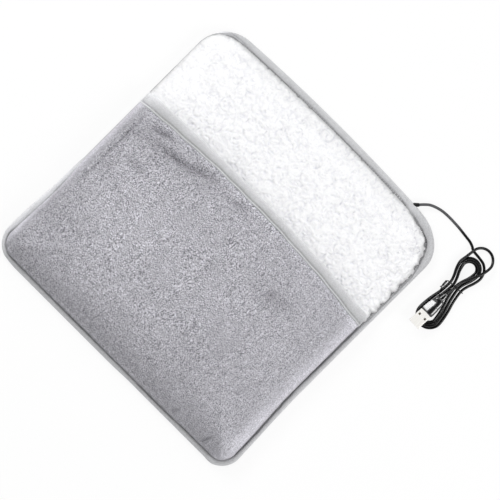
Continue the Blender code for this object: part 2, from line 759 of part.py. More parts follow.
def inner_wiring(black, grey, white, red):
    """Joint, thermal cut-out, splices and leads between the cord and the heating wire."""
    joint_x, joint_y = joint_place()
    cut_x, cut_y = beside(joint_place(), CUT_OUT_FROM_JOINT)
    block("cable_joint", JOINT_SIZE, (joint_x, joint_y, WIRE_Z), black)
    block("thermal_cut_out", CUT_OUT_SIZE, (cut_x, cut_y, WIRE_Z), grey)
    splice_ends = []
    for name, (x, y) in zip(("heater_splice", "return_splice"), wire_ends()):
        low, high = y + TOUCH_GAP, y + TOUCH_GAP + SPLICE_LENGTH
        tube(name, [(x, low, WIRE_Z), (x, high, WIRE_Z)], [SPLICE_D / 2] * 2, black)
        splice_ends.append((x, high + TOUCH_GAP))
    left = joint_x - JOINT_SIZE[0] / 2 - TOUCH_GAP
    cut_right = cut_x + CUT_OUT_SIZE[0] / 2 + TOUCH_GAP
    cut_left = cut_x - CUT_OUT_SIZE[0] / 2 - TOUCH_GAP
    live_y = joint_y + LEAD_OFFSET
    straight = 2 * LEAD_D
    middle = ((left + cut_right) / 2, (live_y + cut_y) / 2 - LIVE_SAG)
    live = [(left, live_y), (left - straight, live_y), middle, (cut_right + straight, cut_y), (cut_right, cut_y)]
    (heater_x, heater_y), (return_x, return_y) = splice_ends
    heater_end, return_end = wire_ends()
    to_heater = [(cut_left, cut_y), (cut_left - straight, cut_y)]
    to_heater += [beside((cut_x, cut_y), p) for p in HEATER_LEAD_FROM_CUT_OUT]
    to_heater += [beside(heater_end, HEATER_LEAD_FROM_WIRE), (heater_x, heater_y + straight), (heater_x, heater_y)]
    back_y = joint_y - LEAD_OFFSET
    back = [(left, back_y), (left - straight, back_y)]
    back += [beside((joint_x, joint_y), p) for p in RETURN_LEAD_FROM_JOINT]
    back += [beside(return_end, p) for p in RETURN_LEAD_FROM_WIRE]
    back += [(return_x, return_y + straight), (return_x, return_y)]
    for name, route, colour in (
        ("live_lead", live, red),
        ("heater_lead", to_heater, red),
        ("return_lead", back, white),
    ):
        places = smooth_route([(*p, WIRE_Z) for p in route], 2 * straight)
        wire(name, places, LEAD_D, colour, LOOP_RESOLUTION)


# Cord


def exit_direction():
    return Vector((math.cos(EXIT_ANGLE), math.sin(EXIT_ANGLE), 0))


def sleeve_place(along):
    """A place on the sleeve's axis, so far out from the pad's edge."""
    return Vector((*EXIT_PLACE, SEAM_Z)) + exit_direction() * along


def inner_cord_route():
    start = sleeve_place(-SLEEVE_INSIDE - TOUCH_GAP)
    straight = sleeve_place(-SLEEVE_INSIDE - TOUCH_GAP - CORD_D)
    joint_x, joint_y = joint_place()
    end = Vector((joint_x + JOINT_SIZE[0] / 2 + TOUCH_GAP, joint_y, WIRE_Z))
    before = end + Vector((CORD_D, 0, 0))
    middle = [beside(EXIT_PLACE, p) for p in INNER_ROUTE_FROM_EXIT]
    return smooth_route([start, straight, *middle, before, end], ROUTE_STEP)


def cord_sleeve(black):
    places = (-SLEEVE_INSIDE, 0, SLEEVE_OUTSIDE)
    radii = (SLEEVE_D / 2, SLEEVE_D / 2, SLEEVE_TIP_D / 2)
    return tube("cord_sleeve", [sleeve_place(p) for p in places], radii, black)


def seam_cutters(guide):
    """What makes way for the sleeve and for the cord behind it."""
    radius = SLEEVE_D / 2 + SLEEVE_CLEARANCE
    ends = (sleeve_place(-SLEEVE_INSIDE - TOUCH_GAP), sleeve_place(CUT_OVERRUN))
    round_sleeve = tube("sleeve_way", ends, [radius] * 2, guide)
    route = [sleeve_place(CORD_D - SLEEVE_INSIDE), *inner_cord_route()]
    round_cord = tube("cord_way", route, [CORD_D / 2 + SLEEVE_CLEARANCE] * len(route), guide)
    return round_sleeve, round_cord


def hank_place(x, y, z):
    """From the hank's own frame, with x across and y along it from the waist, to the object's."""
    turned = Matrix.Rotation(HANK_TURN, 3, "Z") @ Vector((x, y, z))
    return turned + Vector((*beside(EXIT_PLACE, HANK_FROM_EXIT), 0))


def loop_offset(turn):
    """How many steps out from the innermost loop: in on the floor, round, and out again on top."""
    if turn <= HANK_TURNS_DOWN:
        return HANK_TURNS_DOWN - turn
    half = (turn - HANK_TURNS_DOWN) / 0.5
    if half <= 1:
        return -TURN_DIP * half * (1 - half)
    return turn - HANK_TURNS_DOWN - 0.5


def loop_plan(turn):
    """A place on the hank's loops. A turn starts at the +y end and goes round by +x."""
    step = (turn % 1) * LOOP_STEPS
    offset = loop_offset(turn)
    half = LOOP_HALF_WIDTH + LOOP_STEP * offset
    waist = WAIST_HALF + WAIST_STEP * offset
    side = 1 if step <= LOOP_STEPS / 2 else -1
    along = step if side > 0 else LOOP_STEPS - step  # from the +y end, down either side
    if along < ARC_STEPS:
        angle = math.pi / 2 * (1 - along / ARC_STEPS)
        return side * half * math.cos(angle), UP_CENTRE + half * math.sin(angle)
    if along <= ARC_STEPS + RUN_STEPS:
        share = 1 - 2 * (along - ARC_STEPS) / RUN_STEPS
        reach = UP_CENTRE if share > 0 else DOWN_CENTRE
        return side * (half - (half - waist) * float(bell(share))), share * reach
    angle = -math.pi / 2 * (along - ARC_STEPS - RUN_STEPS) / ARC_STEPS
    return side * half * math.cos(angle), half * math.sin(angle) - DOWN_CENTRE


def layer_share(turn):
    """From 0 on the floor to 1 on top: the cord climbs along the run where the spiral turns."""
    climb = (turn - HANK_TURNS_DOWN) * LOOP_STEPS - ARC_STEPS
    return float(smooth(climb / RUN_STEPS))


def waist_lift(y):
    return WAIST_LIFT * float(bell(y / WAIST_LIFT_REACH))


def hank_route():
    """The whole hank: its loops, the loose loop, and the lead that ends in the plug."""
    top_z = CORD_FLOOR_Z + HANK_LAYER
    lead_z = top_z + HANK_LAYER
    start_x, start_y = loop_plan(0)
    found = [(start_x - CORD_D, start_y, CORD_FLOOR_Z)]
    for step in range(round(HANK_TURNS * LOOP_STEPS) + 1):
        turn = step / LOOP_STEPS
        x, y = loop_plan(turn)
        found.append((x, y, CORD_FLOOR_Z + HANK_LAYER * layer_share(turn) + waist_lift(y)))
    centre_x, centre_y = LOOSE_CENTRE
    from_x, from_y = found[-1][:2]
    side_x = centre_x - LOOSE_R
    for step in range(1, LOOSE_RUN_STEPS):
        share = step / LOOSE_RUN_STEPS
        x = from_x + (side_x - from_x) * float(smooth(share))
        found.append((x, from_y + (centre_y - from_y) * share, top_z))
    arc = math.pi * LOOSE_R
    climb = arc + centre_y - LOOSE_CLIMBED_Y
    for step in range(2 * ARC_STEPS + 1):
        angle = math.pi * (1 - step / (2 * ARC_STEPS))
        share = arc * step / (2 * ARC_STEPS) / climb
        z = top_z + HANK_LAYER * share - LOOSE_DROP * math.sin(math.pi * share) ** 2
        found.append((centre_x + LOOSE_R * math.cos(angle), centre_y + LOOSE_R * math.sin(angle), z))
    side_x = centre_x + LOOSE_R
    for y in (LOOSE_CLIMBED_Y, *(LOOSE_CLIMBED_Y * share for share in LEAD_SHARES)):
        x = side_x + (LEAD_WAIST_X - side_x) * float(bell(y / centre_y))
        found.append((x, y, lead_z + waist_lift(y)))
    places = [hank_place(*p) for p in found]
    end = plug_rear() - plug_direction() * TOUCH_GAP
    places += [end - plug_direction() * CORD_D, end]
    return places


def plug_direction():
    return Vector((-math.sin(PLUG_TURN), math.cos(PLUG_TURN), 0))


def plug_centre():
    """Where the shell meets the moulding, on the plug's axis: the plug lies on the hank's upper loops."""
    z = CORD_FLOOR_Z + HANK_LAYER + CORD_D / 2 + TOUCH_GAP + MOULD_HEIGHT / 2
    return Vector((*beside(EXIT_PLACE, PLUG_FROM_EXIT), z))


def plug_rear():
    return plug_centre() - plug_direction() * (MOULD_LENGTH + NECK_LENGTH)


def cord_route():
    tip = sleeve_place(SLEEVE_OUTSIDE + TOUCH_GAP)
    straight = sleeve_place(SLEEVE_OUTSIDE + TOUCH_GAP + CORD_D)
    first, second = hank_route()[:2]
    ahead = (second - first).normalized()
    end = first - ahead * TOUCH_GAP
    middle = [beside(EXIT_PLACE, p) for p in CORD_ROUTE_FROM_EXIT]
    return smooth_route([tip, straight, *middle, end - ahead * CORD_D, end], ROUTE_STEP)


def dense(route):
    """Points at close and even steps along a polyline, and how far along it each one is."""
    route = np.array([tuple(p) for p in route])
    at = np.concatenate([[0], np.cumsum(np.linalg.norm(np.diff(route, axis=0), axis=1))])
    places = np.linspace(0, at[-1], int(at[-1] / GAP_SAMPLE) + 1)
    return np.stack([np.interp(places, at, route[:, k]) for k in range(3)], axis=1), places


def least_gap(route):
    """The least clear distance of a cord to itself, apart from its own neighbouring stretch."""
    points, places = dense(route)
    least = math.inf
    for point, place in zip(points, places):
        others = points[places > place + 3 * CORD_D]
        if len(others):
            least = min(least, float(np.linalg.norm(others - point, axis=1).min()))
    return least - CORD_D


def tie_route():
    """A wire round the waist, its two ends twisted together beside it."""
    reach = CORD_D / 2 + TIE_CLEARANCE + TIE_D / 2
    right = WAIST_HALF + WAIST_STEP * loop_offset(0.25)
    left = -WAIST_HALF - WAIST_STEP * loop_offset(0.75)
    heights = [CORD_FLOOR_Z + WAIST_LIFT + layers * HANK_LAYER for layers in (0, 1, 2)]
    # the outer strands at the waist, from the upper left one round by the right
    strands = ((left, heights[1]), (LEAD_WAIST_X, heights[2]), (right, heights[0]), (left, heights[0]))
    around = []
    for before, strand, after in zip(strands[-1:] + strands[:-1], strands, strands[1:] + strands[:1]):
        normals = [math.atan2(b[0] - a[0], a[1] - b[1]) for a, b in ((before, strand), (strand, after))]
        turn = (normals[0] - normals[1]) % (2 * math.pi)
        for share in TIE_BEND_SHARES:
            angle = normals[0] - turn * share
            around.append((strand[0] + reach * math.cos(angle), 0, strand[1] + reach * math.sin(angle)))
    twist_x, twist_z = left - reach - TIE_KNOT_OUT, (heights[0] + heights[1]) / 2
    helix = {}
    for phase in (math.pi / 2, -math.pi / 2):
        steps = TIE_TWIST_TURNS * TIE_TWIST_STEPS
        turns = [phase + 2 * math.pi * i / TIE_TWIST_STEPS for i in range(steps + 1)]
        helix[phase > 0] = [
            (
                twist_x + TIE_TWIST_R * math.cos(angle),
                -TIE_D - TIE_TWIST_LENGTH * i / steps,
                twist_z + TIE_TWIST_R * math.sin(angle),
            )
            for i, angle in enumerate(turns)
        ]
    end_x, end_y, end_z = helix[False][-1]
    short_tail = (end_x - TIE_D, end_y - TIE_SHORT_TAIL, end_z - TIE_TWIST_R)
    found = [*TIE_TAIL[::-1], *helix[True][::-1], *around, *helix[False], short_tail]
    return [hank_place(*p) for p in found]


def cord_pieces(black, tie_black):
    cord, hank = cord_route(), hank_route()
    wire("cord", cord, CORD_D, black)
    wire("cord_hank", hank, CORD_D, black, LOOP_RESOLUTION)
    wire("wire_tie", tie_route(), TIE_D, tie_black, LOOP_RESOLUTION)
    wire("inner_cord", inner_cord_route(), CORD_D, black)
    both = [sum((b - a).length for a, b in zip(r, r[1:])) for r in ([Vector(p) for p in cord], hank)]
    print(f"cord {both[0]:.4f} m, hank {both[1]:.4f} m, least gap in the hank {least_gap(hank) * 1000:.2f} mm")


# USB plug, made pointing along +Y and then turned


def rounded_section(width, height, rounding, y, steps=3):
    """A rounded rectangle square to Y."""
    ring = []
    for sign_x, sign_z, start in ((1, -1, -90), (1, 1, 0), (-1, 1, 90), (-1, -1, 180)):
        centre_x, centre_z = sign_x * (width / 2 - rounding), sign_z * (height / 2 - rounding)
        for step in range(steps + 1):
            angle = math.radians(start + 90 * step / steps)
            ring.append((centre_x + rounding * math.cos(angle), y, centre_z + rounding * math.sin(angle)))
    return ring


def usb_moulding(black):
    """The hand grip, with a soft edge all round and a neck where the cord goes in."""
    soft = MOULD_HEIGHT / 6
    mouldings = (
        (NECK_TIP_D, NECK_TIP_D, NECK_TIP_D / 2.2, -MOULD_LENGTH - NECK_LENGTH),
        (NECK_D, NECK_D, NECK_D / 2.2, -MOULD_LENGTH - soft / 2),
        (MOULD_WIDTH - 3 * soft, MOULD_HEIGHT - 1.5 * soft, 1.5 * soft, -MOULD_LENGTH),
        (MOULD_WIDTH - soft, MOULD_HEIGHT - soft / 2, 1.8 * soft, -MOULD_LENGTH + soft),
        (MOULD_WIDTH, MOULD_HEIGHT, 2 * soft, -MOULD_LENGTH + 3 * soft),
        (MOULD_WIDTH, MOULD_HEIGHT, 2 * soft, -soft),
        (MOULD_WIDTH - soft, MOULD_HEIGHT - soft, 1.6 * soft, 0),
    )
    return loft("usb_moulding", [rounded_section(*section) for section in mouldings], black)


def usb_shell(steel, guide):
    """A thin sheet tube with two latch windows through its top and two through its underside."""
    start, end = TOUCH_GAP, TOUCH_GAP + SHELL_LENGTH
    inner_width, inner_height = SHELL_WIDTH - 2 * SHELL_WALL, SHELL_HEIGHT - 2 * SHELL_WALL
    outer = [rounded_section(SHELL_WIDTH, SHELL_HEIGHT, SHELL_CORNER_R, y) for y in (start, end)]
    inner = [rounded_section(inner_width, inner_height, SHELL_CORNER_R - SHELL_WALL, y) for y in (end, start)]
    shell = loft("usb_shell", outer + inner, steel, closed=True)
    cutters = []
    for sign in (-1, 1):
        size = (WINDOW_SIZE, WINDOW_SIZE, SHELL_HEIGHT + 2 * CUT_OVERRUN)
        place = (sign * WINDOW_SPACING / 2, start + WINDOW_PLACE, 0)
        cutter = block("window_way_" + ("right" if sign > 0 else "left"), size, place, guide, rounding=0)
        cut(shell, cutter)
        cutters.append(cutter)
    return [shell] + cutters


def usb_tongue(white):
    length = SHELL_LENGTH - TONGUE_SETBACK
    low = -SHELL_HEIGHT / 2 + SHELL_WALL + TOUCH_GAP
    place = (0, TOUCH_GAP + length / 2, low + TONGUE_HEIGHT / 2)
    return block("usb_tongue", (TONGUE_WIDTH, length, TONGUE_HEIGHT), place, white, rounding=0)


def usb_contacts(gold):
    top = -SHELL_HEIGHT / 2 + SHELL_WALL + TOUCH_GAP + TONGUE_HEIGHT + TOUCH_GAP
    far = TOUCH_GAP + SHELL_LENGTH - TONGUE_SETBACK - CONTACT_SETBACK
    size = (CONTACT_WIDTH, CONTACT_LENGTH, CONTACT_HEIGHT)
    return [
        block(
            f"usb_contact_{i + 1}",
            size,
            ((i - 1.5) * CONTACT_SPACING, far - CONTACT_LENGTH / 2, top + CONTACT_HEIGHT / 2),
            gold,
            rounding=0,
        )
        for i in range(4)
    ]


def usb_plug(black, steel, white, gold, guide):
    holder = bpy.data.objects.new("plug_holder", None)
    bpy.context.scene.collection.objects.link(holder)
    holder.location = plug_centre()
    holder.rotation_euler = (0, 0, PLUG_TURN)
    pieces = [usb_moulding(black), *usb_shell(steel, guide), usb_tongue(white), *usb_contacts(gold)]
    for piece in pieces:
        piece.parent = holder


def main():
    for old in list(bpy.data.objects):
        bpy.data.objects.remove(old, do_unlink=True)
    plush = material("plush", (0.43, 0.43, 0.47), 0.9)
    sherpa = material("sherpa", (0.93, 0.93, 0.93), 0.95)
    wadding = material("wadding", (0.85, 0.85, 0.83), 0.95)
    fleece = material("fleece", (0.80, 0.80, 0.76), 0.9)
    tape = material("tape", (0.52, 0.53, 0.55), 0.8)
    black = material("black_rubber", (0.012, 0.012, 0.014), 0.35)
    tie_black = material("tie_black", (0.02, 0.02, 0.02), 0.5)
    grey = material("cut_out", (0.25, 0.25, 0.26), 0.5)
    carbon = material("carbon", (0.03, 0.03, 0.03), 0.6)
    red = material("red_lead", (0.45, 0.02, 0.02), 0.5)
    white = material("white_lead", (0.80, 0.80, 0.80), 0.5)
    steel = material("steel", (0.75, 0.75, 0.75), 0.25, 1.0)
    gold = material("gold", (0.83, 0.62, 0.28), 0.25, 1.0)

    backs = back_layers(plush, sherpa, wadding)
    tape_ring = edge_binding(tape)
    for way in seam_cutters(fleece):
        for target in (*backs, tape_ring):
            cut(target, way)
    fronts = [*front_layers(plush, sherpa, wadding), mouth_binding(tape)]
    for piece in fronts:
        put_origin(piece, HINGE_PLACE)
    heater_sheet("heater_base", BASE_SHEET_Z, fleece)
    heater_sheet("heater_cover", COVER_SHEET_Z, fleece)
    heating_wire(carbon)
    inner_wiring(black, grey, white, red)
    cord_sleeve(black)
    cord_pieces(black, tie_black)
    usb_plug(black, steel, white, gold, fleece)


main()
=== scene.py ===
"""Looks of the heated foot pouch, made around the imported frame. All lengths are in metres.

Soft pieces are dense grids of points over the same flat plan that the CAD uses. inset_of() says how far
inside the edge a point lies, warp() gives the sewn outline, and the heights follow the CAD layers. Pile,
curls, wrinkles and puckers are then moved in along the surface's own normals.
"""

import math

import bmesh
import bpy
import numpy as np
from mathutils import Matrix, Vector


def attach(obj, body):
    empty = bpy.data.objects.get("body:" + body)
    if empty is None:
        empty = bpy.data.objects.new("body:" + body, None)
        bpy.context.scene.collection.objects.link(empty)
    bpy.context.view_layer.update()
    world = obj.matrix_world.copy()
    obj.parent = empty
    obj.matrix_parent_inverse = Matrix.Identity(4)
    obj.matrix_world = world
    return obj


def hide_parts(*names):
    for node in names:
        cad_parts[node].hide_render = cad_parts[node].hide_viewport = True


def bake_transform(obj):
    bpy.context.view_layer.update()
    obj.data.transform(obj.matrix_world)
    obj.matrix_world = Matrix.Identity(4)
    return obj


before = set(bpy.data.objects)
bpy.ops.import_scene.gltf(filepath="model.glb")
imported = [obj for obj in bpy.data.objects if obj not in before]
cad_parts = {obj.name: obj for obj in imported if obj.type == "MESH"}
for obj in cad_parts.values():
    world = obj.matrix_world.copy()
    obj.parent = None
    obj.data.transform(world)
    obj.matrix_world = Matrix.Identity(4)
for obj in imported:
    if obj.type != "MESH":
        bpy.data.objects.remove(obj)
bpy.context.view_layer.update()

# Photo's frame
VIEW_WIDTH = 0.460
VIEW_CENTRE = (0.0218, 0.0130)
VIEW_TURN = math.radians(45)
CAMERA_HEIGHT = 4.0
SENSOR = 36.0

# The CAD's plan and heights
PAD_WIDTH = 0.2946
PAD_LENGTH = 0.304
HALF_WIDTH = PAD_WIDTH / 2
HALF_LENGTH = PAD_LENGTH / 2
CLOSED_CORNER_R = 0.022
OPEN_CORNER_R = 0.034
SIDE_FLARE = 0.0032
FLARE_RUN = 0.107
TOP_BOW = 0.0055
ROLL_POWER = 0.7
TAPE_LOW_Z = 0.0014
TAPE_TOP_Z = 0.0084
SEAM_Z = 0.0049
TAPE_INSIDE = 0.0083
SEAT_Z = 0.0087
MOUTH_Y = 0.0501
MOUTH_SLANT = 0.0156
BAND_WIDTH = 0.0114
FRONT_START = 0.005
FRONT_ROLL = 0.048
FRONT_EDGE_Z = 0.0113
FRONT_TOP_Z = 0.0395
LINING_TOP_Z = 0.0332
BACK_TOP_Z = 0.0185
BACK_EDGE_Z = 0.0070
BACK_ROLL = 0.036
DOME = 0.002

# Cord: the part's own route
TOUCH_GAP = 0.0003
CORD_D = 0.0027
FLOOR_LIFT = 0.00005
CORD_FLOOR_Z = CORD_D / 2 + FLOOR_LIFT
EXIT_PLACE = (HALF_WIDTH - 0.0478, HALF_LENGTH - 0.0030)
EXIT_ANGLE = math.radians(48.7)
SLEEVE_OUTSIDE = 0.0045
SLEEVE_OVERLAP = 0.001
CORD_ROUTE_FROM_EXIT = (
    (0.0095, 0.0098, 0.0042),
    (0.0141, 0.0121, 0.0032),
    (0.0191, 0.0137, 0.0023),
    (0.0243, 0.0146, 0.0017),
    (0.0310, 0.0149, 0.0014),
    (0.0381, 0.0147, 0.0014),
    (0.0445, 0.0143, 0.0014),
    (0.0504, 0.0136, 0.0014),
    (0.0555, 0.0130, 0.0014),
    (0.0603, 0.0123, 0.0014),
    (0.0647, 0.0107, 0.0014),
    (0.0683, 0.0087, 0.0014),
)

# Hank, tie and plug, as the part has them
HANK_FROM_EXIT = (0.0790, -0.0267)
HANK_WAIST = (EXIT_PLACE[0] + HANK_FROM_EXIT[0], EXIT_PLACE[1] + HANK_FROM_EXIT[1], 0)
HANK_TURN = math.radians(3.5)
HANK_LAYER = CORD_D + 0.00046
HANK_TURNS_DOWN = 2
HANK_TURNS = 3.875
LOOP_STEPS = 24
ARC_STEPS = 3
RUN_STEPS = 6
LOOP_HALF_WIDTH = 0.0068
LOOP_STEP = 0.00345
WAIST_HALF = 0.0013
WAIST_STEP = 0.0035
TURN_DIP = 0.75
UP_CENTRE = 0.0209
DOWN_CENTRE = 0.0348
WAIST_LIFT = 0.0013
WAIST_LIFT_REACH = 0.020
LOOSE_CENTRE = (0.0022, 0.0340)
LOOSE_R = 0.0112
LOOSE_DROP = 0.00465
LOOSE_CLIMBED_Y = 0.024
LOOSE_RUN_STEPS = 2
LEAD_WAIST_X = 0.0012
LEAD_SHARES = (0.5, 0.25, 0)
TIE_D = 0.0009
TIE_CLEARANCE = 0.0004
TIE_TWIST_R = 0.00075
TIE_TWIST_TURNS = 2
TIE_TWIST_LENGTH = 0.0055
TIE_TWIST_STEPS = 8
TIE_SHORT_TAIL = 0.0025
TIE_TAIL = ((-0.0086, -0.0088, 0.0064), (-0.0076, -0.0122, 0.0075), (-0.0061, -0.0152, 0.0071))
TIE_KNOT_OUT = 0.0011
TIE_BEND_SHARES = (0, 0.5, 1)
PLUG_FROM_EXIT = (0.0774, -0.0622)
PLUG_TURN = math.radians(177)
MOULD_LENGTH = 0.0180
MOULD_HEIGHT = 0.0072
NECK_LENGTH = 0.0064
USB_CONTACTS = [f"usb_contact_{i + 1}" for i in range(4)]


def linked(name, data):
    """An object in the scene, made from its data."""
    made = bpy.data.objects.new(name, data)
    bpy.context.scene.collection.objects.link(made)
    return made


def camera():
    """The photo's view: from straight above, square to the frame after a turn."""
    data = bpy.data.cameras.new("camera")
    data.sensor_width = SENSOR
    data.lens = SENSOR * CAMERA_HEIGHT / VIEW_WIDTH
    data.clip_end = 50
    made = linked("camera", data)
    made.location = (*VIEW_CENTRE, CAMERA_HEIGHT)
    made.rotation_euler = (0, 0, VIEW_TURN)
    bpy.context.scene.camera = made


camera()


# Numbers


def smooth(t):
    t = np.clip(t, 0, 1)
    return t * t * (3 - 2 * t)


def rise(place, start, run):
    """0 up to the start, 1 from a run further on, and smooth between them."""
    return smooth((place - start) / run)


def fade(place, end, run):
    """1 up to a run before the end, 0 from the end on, and smooth between them."""
    return smooth((end - place) / run)


def bell(t):
    return np.cos(np.clip(np.abs(t), 0, 1) * math.pi / 2) ** 2


def spot(x, y, middle, reach):
    """1 at the middle of a round spot, and 0 beyond its reach."""
    return bell(np.hypot(x - middle[0], y - middle[1]) / reach)


def roll(t):
    """The profile of a padded edge, which rises steeply from 0 and levels out at 1."""
    t = np.clip(t, 0, 1)
    return (1 - (1 - t) ** 2) ** ROLL_POWER


def mixed(a, b, share):
    return a + (b - a) * share


def chance(i, j, seed):
    """An even random number from 0 to 1 for each whole i and j, the same each run."""
    h = (i.astype(np.int64) * 374761393 + j.astype(np.int64) * 668265263 + seed * 1442695041) & 0x7FFFFFFF
    h = ((h ^ (h >> 13)) * 1274126177) & 0x7FFFFFFF
    return ((h ^ (h >> 16)) & 0xFFFFF) / 0xFFFFF


NOISE_GAIN = 1.45


def noise(x, y, size, seed):
    """Gradient noise, about -1 to 1."""
    u, v = x / size, y / size
    i, j = np.floor(u), np.floor(v)
    fu, fv = u - i, v - j
    wu, wv = fu**3 * (fu * (fu * 6 - 15) + 10), fv**3 * (fv * (fv * 6 - 15) + 10)
    total = 0
    for di, dj in ((0, 0), (1, 0), (0, 1), (1, 1)):
        angle = 2 * math.pi * chance(i + di, j + dj, seed)
        slope = np.cos(angle) * (fu - di) + np.sin(angle) * (fv - dj)
        total = total + slope * (wu if di else 1 - wu) * (wv if dj else 1 - wv)
    return total * NOISE_GAIN


def ripple(run, size, seed):
    """Noise along a line."""
    return noise(run, 0 * run, size, seed)


def fractal(x, y, size, seed, octaves=3):
    """Noise with finer noise on top, each octave half as big and half as strong."""
    return sum(noise(x, y, size / 2**k, seed + k) / 2**k for k in range(octaves)) / (2 - 2 ** (1 - octaves))


# Shader nodes


def scaled(colour, share):
    return tuple(min(c * share, 1.0) for c in colour)


def rgba(colour):
    """The four numbers of a colour, or of a grey that is given as one number."""
    return (*colour, 1) if isinstance(colour, tuple) else (colour, colour, colour, 1)


class Nodes:
    """The node tree of a material or a world, with short calls for its nodes."""

    def __init__(self, owner):
        owner.use_nodes = True
        self.owner = owner
        self.tree = owner.node_tree

    def feed(self, socket, value):
        """Links an output to the socket, or gives the socket a value of its own."""
        if isinstance(value, bpy.types.NodeSocket):
            self.tree.links.new(value, socket)
        else:
            socket.default_value = value

    def add(self, kind, links=(), **values):
        node = self.tree.nodes.new(kind)
        for key, value in values.items():
            if key in node.inputs:
                node.inputs[key].default_value = value
            else:
                setattr(node, key, value)
        for key, value in dict(links).items():
            self.feed(node.inputs[key], value)
        return node

    def places(self):
        return self.add("ShaderNodeTexCoord").outputs["Object"]

    def stretched(self, scale):
        return self.add("ShaderNodeMapping", {"Vector": self.places()}, Scale=scale).outputs["Vector"]

    def noise(self, scale, detail=3.0, rough=0.5, at=None, distortion=0.0):
        links = {"Vector": at or self.places()}
        node = self.add(
            "ShaderNodeTexNoise", links, Scale=scale, Detail=detail, Roughness=rough, Distortion=distortion
        )
        return node.outputs["Fac"]

    def attribute(self, name):
        return self.add("ShaderNodeAttribute", attribute_name=name).outputs["Fac"]

    def ramp(self, value, *stops):
        node = self.add("ShaderNodeValToRGB", {"Fac": value})
        items = node.color_ramp.elements
        while len(items) < len(stops):
            items.new(0.5)
        for item, (place, colour) in zip(items, stops):
            item.position = place
            item.color = rgba(colour)
        return node.outputs["Color"]

    def mix(self, share, a, b, blend="MIX"):
        node = self.add("ShaderNodeMix", data_type="RGBA", blend_type=blend)
        sockets = {s.identifier: s for s in node.inputs}
        self.feed(sockets["Factor_Float"], share)
        for key, value in (("A_Color", a), ("B_Color", b)):
            self.feed(sockets[key], value if isinstance(value, bpy.types.NodeSocket) else rgba(value))
        return {s.identifier: s for s in node.outputs}["Result_Color"]

    def times(self, a, b):
        return self.mix(1.0, a, b, "MULTIPLY")

    def math(self, operation, *values):
        return self.add("ShaderNodeMath", dict(enumerate(values)), operation=operation).outputs[0]

    def shades(self, field, colour, dark, light=1.0, spread=(0.3, 0.7)):
        """The colour, darker where the field is low and lighter where it is high."""
        share = self.ramp(field, (spread[0], 0.0), (spread[1], 1.0))
        return self.mix(share, scaled(colour, dark), scaled(colour, light))

    def gloss(self, field, rough):
        """A roughness that changes a little with the field."""
        return self.ramp(field, (0.3, rough - 0.04), (0.7, rough + 0.06))

    def bump(self, height, strength, distance):
        node = self.add("ShaderNodeBump", {"Height": height}, Strength=strength, Distance=distance)
        return node.outputs["Normal"]

    def set(self, **values):
        """Sets sockets of the material's shader, whose names have spaces where these have underscores."""
        shader = self.tree.nodes["Principled BSDF"]
        for key, value in values.items():
            socket = shader.inputs[key.replace("_", " ")]
            self.feed(socket, rgba(value) if isinstance(value, tuple) else value)
        return self.owner


def new_material(name):
    return Nodes(bpy.data.materials.new(name))


PLUSH_DARK, PLUSH_GREY, PLUSH_LIGHT = (0.294, 0.287, 0.335), (0.487, 0.479, 0.531), (0.68, 0.67, 0.722)
PLUSH_TIP = (0.85, 0.842, 0.885)
PLUSH_CALM = (0.525, 0.518, 0.56)
SHERPA_DEEP, SHERPA_SHADED, SHERPA_TOP = (0.56, 0.56, 0.625), (0.82, 0.82, 0.85), (0.962, 0.962, 0.968)
SHERPA_STRAND = (0.80, 0.80, 0.84)
TAPE_GREY = (0.575, 0.578, 0.592)
BLACK = (0.0022, 0.0022, 0.0026)
# a grey that stands for spread highlights on the cord: painted sheen
PAINTED_SHEEN_BLACK = (0.085, 0.085, 0.090)
DULL_ROUGH = 0.40
DULL_FROM, DULL_TO = 0.050, 0.056


def plush_material(name):
    """Short grey pile: dark pits between light tips, with painted shade in the mesh's own pits and creases,
    and random tone with painted light and shade on top.
    """
    n = new_material(name)
    # depth darkens the pits and creases: painted shade
    pits = n.ramp(n.attribute("depth"), (0.0, PLUSH_DARK), (0.45, PLUSH_GREY), (1.0, PLUSH_LIGHT))
    grain = n.noise(1.0, detail=2, rough=0.7, at=n.stretched((2100, 800, 1500)))
    colour = n.times(pits, n.ramp(grain, (0.41, 0.14), (0.50, 0.96), (0.60, 1.02)))
    colour = n.mix(n.ramp(grain, (0.50, 0.0), (0.60, 0.9)), colour, PLUSH_TIP)
    colour = n.mix(n.attribute("calm"), colour, PLUSH_CALM)
    streaks = n.noise(1.0, detail=2, rough=0.6, at=n.stretched((520, 75, 400)))
    colour = n.times(colour, n.ramp(streaks, (0.35, 0.84), (0.65, 1.02)))
    # tone: random patches, with painted light and painted shade
    colour = n.times(colour, n.attribute("tone"))
    return n.set(
        Base_Color=colour, Roughness=0.95, Normal=n.bump(grain, 0.5, 0.0006), Sheen_Weight=0.25,
        Sheen_Roughness=0.5, Sheen_Tint=(0.86, 0.86, 0.90), Specular_IOR_Level=0.1,
    )


def sherpa_material(name):
    """White curly yarn: grey-lavender where the curls meet, which is painted shade."""
    n = new_material(name)
    strands = n.noise(640, detail=4, rough=0.65, distortion=1.4)
    colour = n.ramp(n.attribute("depth"), (0.0, SHERPA_DEEP), (0.35, SHERPA_SHADED), (0.85, SHERPA_TOP))
    colour = n.times(colour, n.ramp(strands, (0.30, SHERPA_STRAND), (0.46, 1.0)))
    # tone: painted shade by the band, the tape and the top edge, and a little painted light at the left
    colour = n.times(colour, n.attribute("tone"))
    return n.set(
        Base_Color=colour, Roughness=0.95, Normal=n.bump(strands, 0.35, 0.0006), Sheen_Weight=0.15,
        Sheen_Roughness=0.5, Specular_IOR_Level=0.1,
    )


